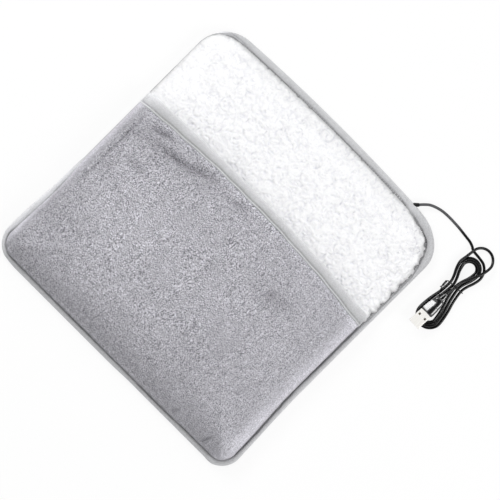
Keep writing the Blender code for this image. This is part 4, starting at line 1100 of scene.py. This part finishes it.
def seam_depth(x, y):
    """How deep the seam's groove is: shallow at the left, where the front hangs over it, and by the cord."""
    at_left = 0.85 * fade(x, -0.128, 0.012) * fade(y, 0.030, 0.010)
    groove = np.maximum(1 - at_left, fade(y, -0.122, 0.012))
    return groove * (1 - 0.65 * spot(x, y, EXIT_PLACE, EXIT_SHALLOW_REACH))


def seam_shade(x, y, run):
    """Painted shade of the seam, uneven along its run. It is darker at the open end, and has painted shadow
    dashes near the cord.
    """
    uneven = 1 + 0.30 * ripple(run, 0.0038, 14)
    shadow_dashes = spot(x, y, *SHADOW_DASHES_SPOT) * smooth(ripple(run, 0.0022, 18) / 0.4 + 0.6)
    return uneven * (1 - 0.60 * shadow_dashes) * (1 - 0.22 * rise(y, 0.135, 0.006) * rise(x, -0.12, 0.02))


def tape_light(x, y):
    """Light on the tape's crest, and on the part of its outer side that lies in shade at the left."""
    by_cord = 0.03 * rise(x, 0.110, 0.02) * rise(y, 0.085, 0.03)
    at_left = (0.22 + 0.24 * rise(y, 0.045, 0.02)) * fade(x, -0.13, 0.01)
    return 1 - by_cord + at_left, 1 - 0.60 * fade(x, -0.14, 0.004) * bell((y + 0.010) / 0.050)


def tape_ring(seam, pull, dip, swell, deep, uneven, glow, outer_shade):
    """The tape's section as insets, heights and shades: from the seam over the crest, round and back."""
    middle, half = (TAPE_LOW_Z + TAPE_TOP_Z) / 2, (TAPE_TOP_Z - TAPE_LOW_Z) / 2
    crest = min(max(seam - 0.0018, LEAST_CREST), UNDER_ROUND)
    light = mixed(1.18, 1.0, deep) * glow
    # shades: painted shade in the seam's groove, painted light on the crest and round the outer side, and
    # painted shade on the outer side at the left
    ring = [
        (seam + 0.0026, TAPE_TOP_Z - SEAM_DIP, 0.6),
        (seam + 0.0004, TAPE_TOP_Z - dip, mixed(1.1, 0.48 * uneven, deep)),
        (seam - 0.0003, TAPE_TOP_Z - dip * 0.85, mixed(1.2, 0.64 * uneven, deep)),
        (seam - 0.0010, TAPE_TOP_Z - 0.0006 * deep, 0.92 * light),
    ]
    for angle in np.radians(np.linspace(90, 180, 7)):
        shade = light * (1.0 + 0.10 * smooth(angle - 1.8)) * mixed(1, outer_shade, rise(angle, 1.95, 0.35))
        out = crest + (crest - pull) * math.cos(angle)
        ring.append((out, middle + (half + swell) * math.sin(angle), shade))
    for angle in np.radians(np.linspace(195, 270, 6)):
        out = UNDER_ROUND + (UNDER_ROUND - pull) * math.cos(angle)
        ring.append((out, middle + half * math.sin(angle), 1.0))
    return ring + [
        (0.0060, TAPE_LOW_Z, 1),
        (0.0072, TAPE_LOW_Z + 0.0003, 0.9),
        (0.0080, TAPE_LOW_Z + TAPE_WALL, 0.7),
        (0.0034, TAPE_LOW_Z + TAPE_WALL, 1),
        (0.0012, middle, 1),
        (max(crest, 0.0016), TAPE_TOP_Z - TAPE_WALL, 1),
        (seam + 0.0026, TAPE_TOP_Z - SEAM_DIP - TAPE_WALL, 1),
    ]


def edge_binding():
    """The tape: a ring at each step round the plan, with a wavy seam, stitches and soft swells."""
    places, inwards, run = edge_line(TAPE_STEP)
    x, y = places.T
    seam = tape_reach(x, y) + SEAM_WAVE * np.sin(run / 0.0160) + SEAM_JITTER * ripple(run, 0.0075, 4)
    deep = seam_depth(x, y)
    stitch = 0.5 + 0.5 * np.cos(2 * math.pi * run / STITCH_PITCH)
    dip = (SEAM_DIP + STITCH_DIP * stitch) * deep
    swell = TAPE_SWELL * np.sin(run / 0.0074 + 0.6) + TAPE_SWELL * ripple(run, 0.004, 8)
    values = (seam, edge_pull(x, y), dip, swell, deep, seam_shade(x, y, run), *tape_light(x, y))
    sections, tones = [], []
    for place, inward, here in zip(places, inwards, zip(*values)):
        insets, heights, shades = zip(*tape_ring(*here))
        flat = np.array([place + inward * inset for inset in insets])
        sections.append(sewn(flat[:, 0], flat[:, 1], heights))
        tones += shades
    piece = sweep("edge_tape", sections, TAPE, tone=tones)
    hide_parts("edge_binding")
    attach(piece, "pad")


edge_binding()


# Front of the pocket. Its mouth bows: the band's stitched edge more than its fold

STITCH_LINE = 0.0036
EDGE_BOW = (0.0040, 0.0055, 0.003, 0.117)
FOLD_BOW = (0.0038, 0.0030, 0.0, 0.112)
BOW_RUN = 0.060
LEFT_LEAN = 0.0036
LEAN_RUN = 0.023
VISIBLE_START = 0.0053
EDGE_ROUND = 0.0022
EDGE_DROP = 0.0034
FRONT_STEP = 0.00074
PILE_HEIGHT = 0.00012
PILE_SIZE = 0.0013
PUCKER = 0.00028
CLOSED_PUCKER = 0.00030
SWELL = 0.0010
LEAN_LIFT = 0.0011
SELVEDGE_LIFT = 0.0008
BAND_START = MOUTH_Y - BAND_WIDTH
LAYER_GAP = 0.0006
LINING_EDGE = 0.0158
LINING_START = 0.0101
LINING_ROLL = 0.0429
LINING_LOFT = 0.0077
MOUTH_HALF = 0.0029
MOUTH_LIFT = 0.00115
SIDE_NAMES = {-1: "left", 1: "right"}


def left_lean(x, y):
    """How far the layers lean out over the tape at the pad's left side, from 0 to 1."""
    inside = HALF_WIDTH - np.abs(x)
    return fade(inside, FRONT_START + LEAN_RUN, LEAN_RUN) * rise(y, -0.075, 0.05) * (x < 0)


def front_point(x, y, z):
    """The sewn front over flat plan points: bowed and slanted at its mouth, and drawn in along its seam."""
    bows = [lift - drop * ((x - middle) / reach) ** 2 for lift, drop, middle, reach in (EDGE_BOW, FOLD_BOW)]
    to_fold = np.clip((y - BAND_START - STITCH_LINE) / (BAND_WIDTH - STITCH_LINE), 0, 1)
    bow = mixed(*bows, to_fold) * smooth((y - BAND_START + BOW_RUN) / BOW_RUN)
    slanted = y - MOUTH_SLANT * x * rise(y, -0.040, 0.060)
    drawn = tuck(x, y)
    closed_end = fade(y, -0.130, 0.010)
    leaning = x - LEFT_LEAN * left_lean(x, y) - drawn * (1 - closed_end)
    return sewn(leaning, slanted + bow + drawn * closed_end, z)


def front_height(inset):
    return FRONT_EDGE_Z + (FRONT_TOP_Z - FRONT_EDGE_Z) * roll((inset - FRONT_START) / FRONT_ROLL)


def rounded_height(inset):
    """The front's height, with its edge rolled under to the seam."""
    share = np.clip((inset - VISIBLE_START) / EDGE_ROUND, 0, 1)
    return front_height(inset) - EDGE_DROP * (1 - np.sqrt(1 - (1 - share) ** 2))


def dome(x, y):
    """How much further up the front stands towards its middle line."""
    return DOME * (1 - (x / HALF_WIDTH) ** 2) * smooth((y + HALF_LENGTH) / 0.080)


def lining_low(inset):
    return np.maximum(SEAT_Z, back_height(inset) + LAYER_GAP) + LINING_LOFT * rise(inset, LINING_EDGE, 0.032)


def lining_top(inset, over=0):
    return SEAT_Z + (LINING_TOP_Z + over - SEAT_Z) * roll((inset - LINING_START) / LINING_ROLL)


def layers_at(x, y):
    """Half the front's thickness before the mouth, its share left there, and its lowest and middle height."""
    inset = inset_of(x, y)
    low = lining_low(inset)
    half = (front_height(inset) - low) / 2
    share = np.minimum(1, MOUTH_HALF / half)
    return half, share, low, np.maximum(low + half, low + half * share + MOUTH_LIFT)


def squeezed(x, y, z):
    """Layers thin towards the mouth, as in part.py, and then bulge up in the middle."""
    half, share, low, middle = layers_at(x, y)
    thin = middle + (z - low - half) * share
    return z + (thin - z) * smooth((y - BAND_START + 0.0146) / 0.0135) + dome(x, y)


# Creases of the plush: places along each, its half width and its depth
CREASES = (
    (((-0.1240, 0.0273), (-0.1083, 0.0325), (-0.0979, 0.0351)), 0.0019, 0.0016),
    (
        (
            (-0.1207, 0.0162), (-0.0966, 0.0221), (-0.0784, 0.0247),
            (-0.0615, 0.0312), (-0.0485, 0.0351), (-0.0387, 0.0357),
        ),
        0.0026, 0.0022,
    ),
    (((-0.0283, 0.0318), (-0.0121, 0.0351), (-0.0036, 0.0370)), 0.0019, 0.0010),
    (((-0.1135, -0.0066), (-0.0979, -0.0053)), 0.0024, 0.0010),
    (((-0.1325, 0.0300), (-0.1330, 0.0050), (-0.1326, -0.0250), (-0.1335, -0.0500)), 0.0012, 0.0010),
    (((0.0452, -0.0105), (0.0920, 0.0026)), 0.0040, 0.0007),
    (((0.1141, -0.1436), (0.1160, -0.1375), (0.1190, -0.1304)), 0.0012, 0.0013),
    (((0.0740, -0.1430), (0.0768, -0.1394), (0.0796, -0.1354)), 0.0012, 0.0010),
)
CREASE_STEPS = 24
CREASE_SPREAD = 1.25
CREASE_DEPTH = 0.8
CREASE_RIDGE = 0.45
CREASE_FULL_SHADE = 0.0016

# Broad patches where the plush is darker or lighter: middle, reach along x and y, and strength
SHADES = (
    ((0.060, -0.085), (0.050, 0.030), -0.09),
    ((-0.085, -0.042), (0.055, 0.045), 0.09),
    ((-0.075, 0.028), (0.060, 0.014), -0.09),
    ((-0.130, -0.075), (0.012, 0.030), -0.05),
    ((-0.137, 0.006), (0.010, 0.032), -0.07),
    ((0.075, -0.005), (0.040, 0.018), -0.07),
    ((-0.120, -0.100), (0.030, 0.040), -0.06),
    ((0.020, -0.030), (0.050, 0.025), 0.04),
    ((-0.020, -0.110), (0.045, 0.020), 0.04),
)


def creases_at(x, y):
    """How far the creases move each place up or down, and how deep in one it lies, from 0 to 1."""
    move, shade = np.zeros(x.shape), np.zeros(x.shape)
    for places, width, deep in CREASES:
        line = smooth_line([(*p, 0) for p in places], CREASE_STEPS)[:, :2]
        margin = 6 * CREASE_SPREAD * width
        near = (x > line[:, 0].min() - margin) & (x < line[:, 0].max() + margin)
        near &= (y > line[:, 1].min() - margin) & (y < line[:, 1].max() + margin)
        far = np.hypot(x[near][:, None] - line[:, 0], y[near][:, None] - line[:, 1])
        share = far.argmin(axis=1) / (len(line) - 1)
        fade = np.sin(math.pi * np.clip(share, 0.02, 0.98)) ** 0.6
        dist = far.min(axis=1) / (CREASE_SPREAD * width)
        ridge = CREASE_RIDGE * np.exp(-(((dist - 2.4) / 1.5) ** 2))
        move[near] += CREASE_DEPTH * deep * fade * (ridge - np.exp(-(dist**2)))
        dark = fade * np.exp(-((dist / 1.3) ** 2)) * min(1, deep / CREASE_FULL_SHADE)
        shade[near] = np.maximum(shade[near], dark)
    return move, shade


def right_roll(x):
    """1 where the front rolls down at the pad's right side, and 0 away from it."""
    return fade(HALF_WIDTH - x, 0.026, 0.022)


def plush_tone(x, y, d):
    """Tone of the plush: broad patches, painted shade with streaks and a painted lit rim by the closed seam,
    and painted light at each side.
    """
    tone = 1 + 0.05 * fractal(x, y, 0.045, 301, 2) + 0.03 * fractal(x, y, 0.012, 305, 2)
    for (cx, cy), (rx, ry), amount in SHADES:
        tone = tone + amount * np.exp(-(((x - cx) / rx) ** 2) - ((y - cy) / ry) ** 2)
    from_left, from_closed = HALF_WIDTH + x, HALF_LENGTH + y
    closed = fade(from_closed, 0.032, 0.030)
    streaks = noise(x, y * 0.2, 0.0034, 71) + 0.6 * noise(x, y * 0.2, 0.0016, 72)
    # painted shade on the roll by the closed end, in streaks, and a painted lit rim by its seam
    tone = tone * (1 - closed * (0.145 + 0.09 * streaks))
    tone = tone * (1 + 0.16 * closed * bell((from_closed - 0.0078) / 0.0036))
    # painted light on the right-hand roll and on the left rim
    tone = tone * (1 + 0.42 * right_roll(x) ** 1.5 * (1 - 0.5 * closed))
    tone = tone * (1 + 0.40 * fade(from_left, 0.0085, 0.0055))
    # a painted shadow line along the left edge
    middle = rise(y, -0.060, 0.020) * (1 - rise(y, 0.030, 0.020))
    tone = tone * (1 - 0.42 * middle * bell((from_left - 0.0014) / 0.0012))
    # painted shade beside the seam
    beyond_seam = np.maximum(rise(d, VISIBLE_START, 0.0015), fade(from_left, 0.012, 0.006))
    return tone * mixed(0.55, 1, beyond_seam)


def front_base(x, y):
    """The front's surface over flat plan points, without its folds and pile."""
    v = y - BAND_START
    z = squeezed(x, y, rounded_height(inset_of(x, y))) + LEAN_LIFT * left_lean(x, y)
    z = z + SELVEDGE_LIFT * rise(v, -0.007, 0.006) * (1 - rise(v, 0.0012, 0.0006))
    return front_point(x, y, z)


# Fullness of the padded front: a coarse copy, held at its seams and its mouth, is blown up a little as cloth

SIM_COLUMNS = 65
SIM_ROWS = 43
SIM_PRESSURE = 4.0
SIM_SLACK = 0.01
SIM_FRAMES = 20
SIM_CAP = 0.0028
SIM_SINK = 0.0005
SIM_BEFORE_BAND = 0.004


def simulated_fullness():
    """Rows and shares of the coarse copy, and how far the simulation moves each of its points."""
    rows = np.linspace(VISIBLE_START - HALF_LENGTH, BAND_START - SIM_BEFORE_BAND, SIM_ROWS)
    shares = np.linspace(-1, 1, SIM_COLUMNS)
    x, y = row_grid(rows, shares, VISIBLE_START)
    start = front_base(x, y)
    index = np.arange(y.size).reshape(y.shape)
    sheet = mesh_piece("front_cloth", start.reshape(-1, 3), quads_of(index), PLUSH)
    held = sheet.vertex_groups.new(name="held")
    border = np.concatenate([index[0], index[-1], index[:, 0], index[:, -1]])
    held.add(border.tolist(), 1.0, "REPLACE")
    cloth = sheet.modifiers.new("cloth", "CLOTH")
    cloth.point_cache.frame_start, cloth.point_cache.frame_end = 1, SIM_FRAMES
    cloth.settings.vertex_group_mass = "held"
    cloth.settings.use_pressure = True
    cloth.settings.uniform_pressure_force = SIM_PRESSURE
    cloth.settings.shrink_min = -SIM_SLACK
    cloth.settings.effector_weights.gravity = 0
    cloth.collision_settings.use_collision = False
    for number in range(1, SIM_FRAMES + 1):
        bpy.context.scene.frame_set(number)
    moved = sheet.evaluated_get(bpy.context.evaluated_depsgraph_get()).data
    end = np.empty(start.size, np.float32)
    moved.vertices.foreach_get("co", end)
    bpy.context.scene.frame_set(1)
    bpy.data.objects.remove(sheet)
    move = end.reshape(start.shape) - start
    far = np.linalg.norm(move, axis=2, keepdims=True)
    move = move * SIM_CAP / (SIM_CAP + far)
    move[..., 2] = np.maximum(move[..., 2], -SIM_SINK)
    return rows, shares, move


FULLNESS = simulated_fullness()


def fullness_at(rows, shares):
    """The simulated move of the front over finer rows and shares."""
    coarse_rows, coarse_shares, move = FULLNESS
    parts = []
    for part in np.moveaxis(move, 2, 0):
        along = np.stack([np.interp(rows, coarse_rows, column) for column in part.T])
        parts.append(np.stack([np.interp(shares, coarse_shares, row) for row in along.T]))
    return np.stack(parts, axis=-1)


BEFORE_BAND = 0.009
UNDER_BAND_STEP = 0.0005
FRONT_END = MOUTH_Y - 0.0033
LINING_STEP = 0.0013
LINING_CURL = 0.0022


def half_shares(levels, inset, side):
    """Shares of the half width that the levels' insets stand for, at one side of the middle line."""
    right = 1 - (levels[::-1] - inset) / (HALF_WIDTH - inset)
    return right if side > 0 else -right[::-1]


def pocket_front(side):
    """One half of the pocket's plush front, from the middle line to its side seam."""
    levels = spaced_levels(rounded_height, VISIBLE_START, HALF_WIDTH, FRONT_STEP)
    near = levels[levels < 0.05]
    body = steps_along(near[-1] - HALF_LENGTH, BAND_START - BEFORE_BAND, FRONT_STEP)[1:]
    under_band = steps_along(BAND_START - BEFORE_BAND, FRONT_END, UNDER_BAND_STEP)[1:]
    rows = np.concatenate([near - HALF_LENGTH, body, under_band])
    shares = half_shares(levels, VISIBLE_START, side)
    x, y = row_grid(rows, shares, VISIBLE_START)
    d = inset_of(x, y)
    v = y - BAND_START
    base = front_base(x, y) + fullness_at(rows, shares) * fade(v, 0, 0.006)[..., None]
    wx, wy = base[..., 0], base[..., 1]
    fold, crease = creases_at(wx, wy)
    along = np.where(np.abs(x) / HALF_WIDTH > np.abs(y) / HALF_LENGTH, y, x)
    streaks = noise(along, d * 0.25, 0.0050, 5) + 0.5 * noise(along, d * 0.25, 0.0024, 6)
    closed = fade(y + HALF_LENGTH, 0.040, 0.030)
    puckers = (PUCKER + CLOSED_PUCKER * closed) * streaks * bell((d - 0.011) / 0.011)
    swells = SWELL * fractal(x, y, 0.060, 12) * rise(d, 0.006, 0.02)
    pile = noise(wx, wy, PILE_SIZE, 90)
    move = (puckers + swells) * fade(v, 0.0006, 0.004) + fold
    move = move + PILE_HEIGHT * pile * fade(v, 0.0022, 0.001)
    top = base + normals_of(base) * move[..., None]
    low_z = np.maximum(lining_top(d, LAYER_GAP), back_height(d) + LAYER_GAP)
    low = front_point(x, y, np.minimum(squeezed(x, y, low_z), top[..., 2] - LAYER_GAP))
    roll_side = right_roll(x)
    # depth: painted shade in the pile's pits, less on the right roll, and in the creases
    depth = np.clip(0.50 + 0.19 * pile * (1 - 0.5 * roll_side) - 0.20 * crease, 0, 1)
    # tone: painted shade in the creases, painted light along the edge before the band, and painted shade
    # where the plush runs under the band
    tone = plush_tone(wx, wy, d) * (1 - 0.30 * crease) * (1 + 0.17 * bell((v - 0.001) / 0.007))
    tone = tone * mixed(0.85, 1, fade(v, 0.0014, 0.0009))
    piece = shell(f"plush_{SIDE_NAMES[side]}", top, low, PLUSH, depth, tone, skip=5)
    calm = 0.60 * np.maximum(roll_side, fade(HALF_WIDTH + wx, 0.013, 0.008))
    set_values(piece, "calm", calm + 0.22 * rise(x, 0.010, 0.090) * (1 - roll_side))
    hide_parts("front_panel", *(["front_wadding"] if side > 0 else []))
    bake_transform(piece)


def pocket_lining(side):
    """One half of the sherpa inside the pocket."""
    levels = np.append(np.arange(LINING_EDGE, HALF_WIDTH, LINING_STEP), HALF_WIDTH)
    rows = steps_along(LINING_EDGE - HALF_LENGTH, FRONT_END, LINING_STEP)
    x, y = row_grid(rows, half_shares(levels, LINING_EDGE, side), LINING_EDGE)
    d = inset_of(x, y)
    low_z = lining_low(d)
    top_z = np.maximum(lining_top(d), low_z + LAYER_GAP)
    knots = raster_at(YARN, y, x)
    calm = fade(y, MOUTH_Y - 0.012, 0.006) * rise(d, 0.018, 0.01)
    low = front_point(x, y, squeezed(x, y, low_z) - LINING_CURL * (knots - 0.5) * calm)
    top = front_point(x, y, squeezed(x, y, top_z))
    # depth: painted shade between the curls
    piece = shell(f"pocket_lining_{SIDE_NAMES[side]}", low, top, SHERPA, knots, skip=5, flip=True)
    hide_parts("front_lining")
    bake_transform(piece)


BAND_STEP = 0.0007
BAND_STITCH = 0.0040
BAND_FOLD_R = 0.0040
BAND_BEND = BAND_WIDTH - BAND_FOLD_R
BAND_WALL = 0.0009
BAND_EDGE = 0.0013
BAND_CLEARANCE = 0.0004
BAND_SWAY = (0.00022, 0.00020)
HOLE_DEPTH = 0.0004
STITCH_POINT = 5
BRIGHTEST = 1.7


def band_section():
    """The mouth band: distance from its edge, height as a share of half its thickness, and shade."""
    # shades under 1 are painted shade, at the edge and in the stitched groove; those over 1 are painted light
    # on the selvedge's crest and on the fold
    section = [
        (BAND_EDGE, 0.84, 0.78), (0.0016, 1.02, 0.95), (0.0019, 1.09, 1.05), (0.0024, 1.10, 1.12),
        (0.0029, 1.02, 0.96), (STITCH_LINE, 0.82, 0.74), (0.0044, 0.98, 0.92), (0.0058, 1.06, 0.98),
        (BAND_BEND, 1.06, 1.02),
    ]
    for angle in np.radians(np.linspace(12, 170, 12)):
        shade = mixed(1.04, 1.30, smooth(math.degrees(angle) / 80))
        section.append((BAND_BEND + BAND_FOLD_R * math.sin(angle), 1.04 * math.cos(angle), shade))
    return section + [(BAND_BEND, -1.02, 1.2), (0.0030, -1.0, 1.0), (BAND_EDGE, -0.94, 1.0)]


def mouth_band(side):
    """One half of the tape over the mouth's edge: a raised selvedge, a stitched groove, and the fold."""
    x = side * steps_along(0, HALF_WIDTH - FRONT_START, BAND_STEP)
    mouth = np.full(x.shape, MOUTH_Y)
    half, share, _, middle = layers_at(x, mouth)
    middle = middle + dome(x, mouth)
    inner = half * share + BAND_CLEARANCE
    outside, outside_height, outside_shade = np.array(band_section()).T
    inside = np.array([BAND_EDGE, BAND_BEND, BAND_BEND + 0.0030, BAND_BEND, BAND_EDGE])
    inside_height = np.array([-1, -1, 0, 1, 0.95])
    v = np.concatenate([outside, inside])
    sway = BAND_SWAY[0] * np.sin(x / 0.011) + BAND_SWAY[1] * np.sin(x / 0.0043 + 1)
    holes = bell((x / BAND_STITCH - np.round(x / BAND_STITCH)) / 0.38)
    # random tone, and painted light at the band's left end
    light = (1 + 0.03 * ripple(x, 0.008, 55)) * (1 + 0.28 * fade(x, -0.126, 0.012))
    sections, tones = [], []
    for k, place in enumerate(x):
        heights = np.concatenate([outside_height * (inner[k] + BAND_WALL), inside_height * inner[k]])
        heights[STITCH_POINT] -= HOLE_DEPTH * holes[k]
        shades = np.concatenate([outside_shade, np.ones(len(inside))]) * light[k]
        # painted shade in the stitch holes
        shades[STITCH_POINT] *= 1 - 0.30 * holes[k]
        here = np.full(v.shape, place)
        sections.append(front_point(here, BAND_START + v + sway[k], middle[k] + heights))
        tones += list(np.minimum(shades, BRIGHTEST))
    piece = sweep(f"mouth_tape_{SIDE_NAMES[side]}", sections, TAPE, closed=False, tone=tones, smooth_angle=75)
    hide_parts("mouth_binding")
    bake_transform(piece)


for half_piece in (pocket_front, pocket_lining, mouth_band):
    half_piece(-1)
    half_piece(1)


# Wadding of the back, between the layers

WADDING_STEP = 0.004
WADDING_EDGE = 0.0008
WADDING_LOFT = 0.0027
WADDING_LUMPS = 0.0002


def wadding_back():
    levels = np.arange(LINING_EDGE, HALF_WIDTH, WADDING_STEP)
    rows = steps_along(LINING_EDGE - HALF_LENGTH, HALF_LENGTH - LINING_EDGE, WADDING_STEP)
    x, y = plan_grid(LINING_EDGE, rows, levels)
    d = inset_of(x, y)
    low_z = LINING_LOW_Z - UNDER_TOP_DROP * rise(d, TAPE_INSIDE, 0.016)
    lumps = WADDING_LUMPS * (fractal(x, y, 0.012, 3) + 1)
    top_z = low_z + WADDING_EDGE + WADDING_LOFT * rise(d, TAPE_INSIDE, 0.014) - lumps
    material = felt_material("wadding_white", (0.85, 0.85, 0.83))
    piece = shell("wadding_back", sewn(x, y, top_z), sewn(x, y, low_z), material, skip=3)
    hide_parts("back_wadding")
    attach(piece, "pad")


wadding_back()


# CAD nodes that stay


def dress(material, *nodes):
    """Gives CAD nodes a material in place of their own."""
    for node in nodes:
        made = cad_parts[node]
        made.data.materials.clear()
        made.data.materials.append(material)


dress(felt_material("heater_felt", (0.80, 0.80, 0.76)), "heater_base", "heater_cover")
dress(rubber_material("sleeve_black", rough=0.32), "cord_sleeve")
dress(CORD, "inner_cord", "cable_joint", "heater_splice", "return_splice")
dress(rubber_material("cut_out_grey", (0.25, 0.25, 0.26), 0.5), "thermal_cut_out")
dress(rubber_material("carbon_wire", (0.03, 0.03, 0.03), 0.6), "heating_wire")
dress(rubber_material("lead_red", (0.45, 0.02, 0.02), 0.5), "live_lead", "heater_lead")
dress(rubber_material("lead_white", (0.80, 0.80, 0.80), 0.5), "return_lead")
dress(rubber_material("tongue_white", (0.82, 0.82, 0.80), 0.5), "usb_tongue")
# the shell's near-white colour is partly the nickel's own and partly a painted reflection
dress(metal_material("shell_nickel", (1.0, 0.985, 0.945), 0.12, 0.36), "usb_shell")
dress(metal_material("contact_gold", (0.83, 0.62, 0.28), 1.0, 0.3), *USB_CONTACTS)


# Studio: a sky that is bright halfway up and dark overhead, and a lamp at each side

# how far up, from 0 at the horizon to 1 straight overhead, and how bright
SKY = ((0.0, 0.34), (0.35, 0.40), (0.52, 0.80), (0.66, 1.36), (0.78, 0.80), (0.87, 0.11), (1.0, 0.04))
SKY_LEAN = (0.12, 0.22)
FLOOR_HALF = 4
FLOOR_GREY = (0.95, 0.95, 0.95)
FLOOR_SHARE = 0.88


def sky():
    """A sky by height, brighter towards +X and +Y."""
    world = bpy.data.worlds.new("world")
    bpy.context.scene.world = world
    n = Nodes(world)
    parts = n.add("ShaderNodeSeparateXYZ", {0: n.add("ShaderNodeTexCoord").outputs["Generated"]}).outputs
    strength = 1.0
    for axis, lean in zip("XY", SKY_LEAN):
        strength = n.math("MULTIPLY_ADD", parts[axis], lean, strength)
    background = n.tree.nodes["Background"].inputs
    n.feed(background["Color"], n.ramp(parts["Z"], *SKY))
    n.feed(background["Strength"], strength)


def lamp(name, place, size, energy):
    data = bpy.data.lights.new(name, "AREA")
    data.shape = "RECTANGLE"
    data.size, data.size_y = size
    data.energy = energy
    made = linked(name, data)
    made.location = place
    made.rotation_euler = (-Vector(place)).to_track_quat("-Z", "Y").to_euler()


def studio():
    """Sky, lamps, and a floor that is nearly white to the eye and still takes shadows."""
    sky()
    lamp("key", (1.45, 0.30, 1.15), (0.7, 0.7), 11)
    lamp("strip", (-1.15, 0.40, 1.15), (0.9, 0.40), 11)
    n = new_material("floor")
    corners = [(FLOOR_HALF * x, FLOOR_HALF * y, 0) for x, y in ((-1, -1), (1, -1), (1, 1), (-1, 1))]
    floor = mesh_piece("floor", corners, [(0, 1, 2, 3)], n.owner, 0)
    n.set(Base_Color=FLOOR_GREY, Roughness=0.9)
    rays = n.add("ShaderNodeLightPath").outputs
    seen = n.math("MAXIMUM", rays["Is Camera Ray"], rays["Is Glossy Ray"])
    seen = n.math("MAXIMUM", seen, rays["Is Transmission Ray"])
    plain = n.tree.nodes["Principled BSDF"].outputs[0]
    glow = n.add("ShaderNodeEmission").outputs[0]
    blend = n.add("ShaderNodeMixShader", {0: n.math("MULTIPLY", seen, FLOOR_SHARE), 1: plain, 2: glow})
    n.feed(n.tree.nodes["Material Output"].inputs["Surface"], blend.outputs[0])


studio()
bpy.context.scene.view_settings.view_transform = "Standard"
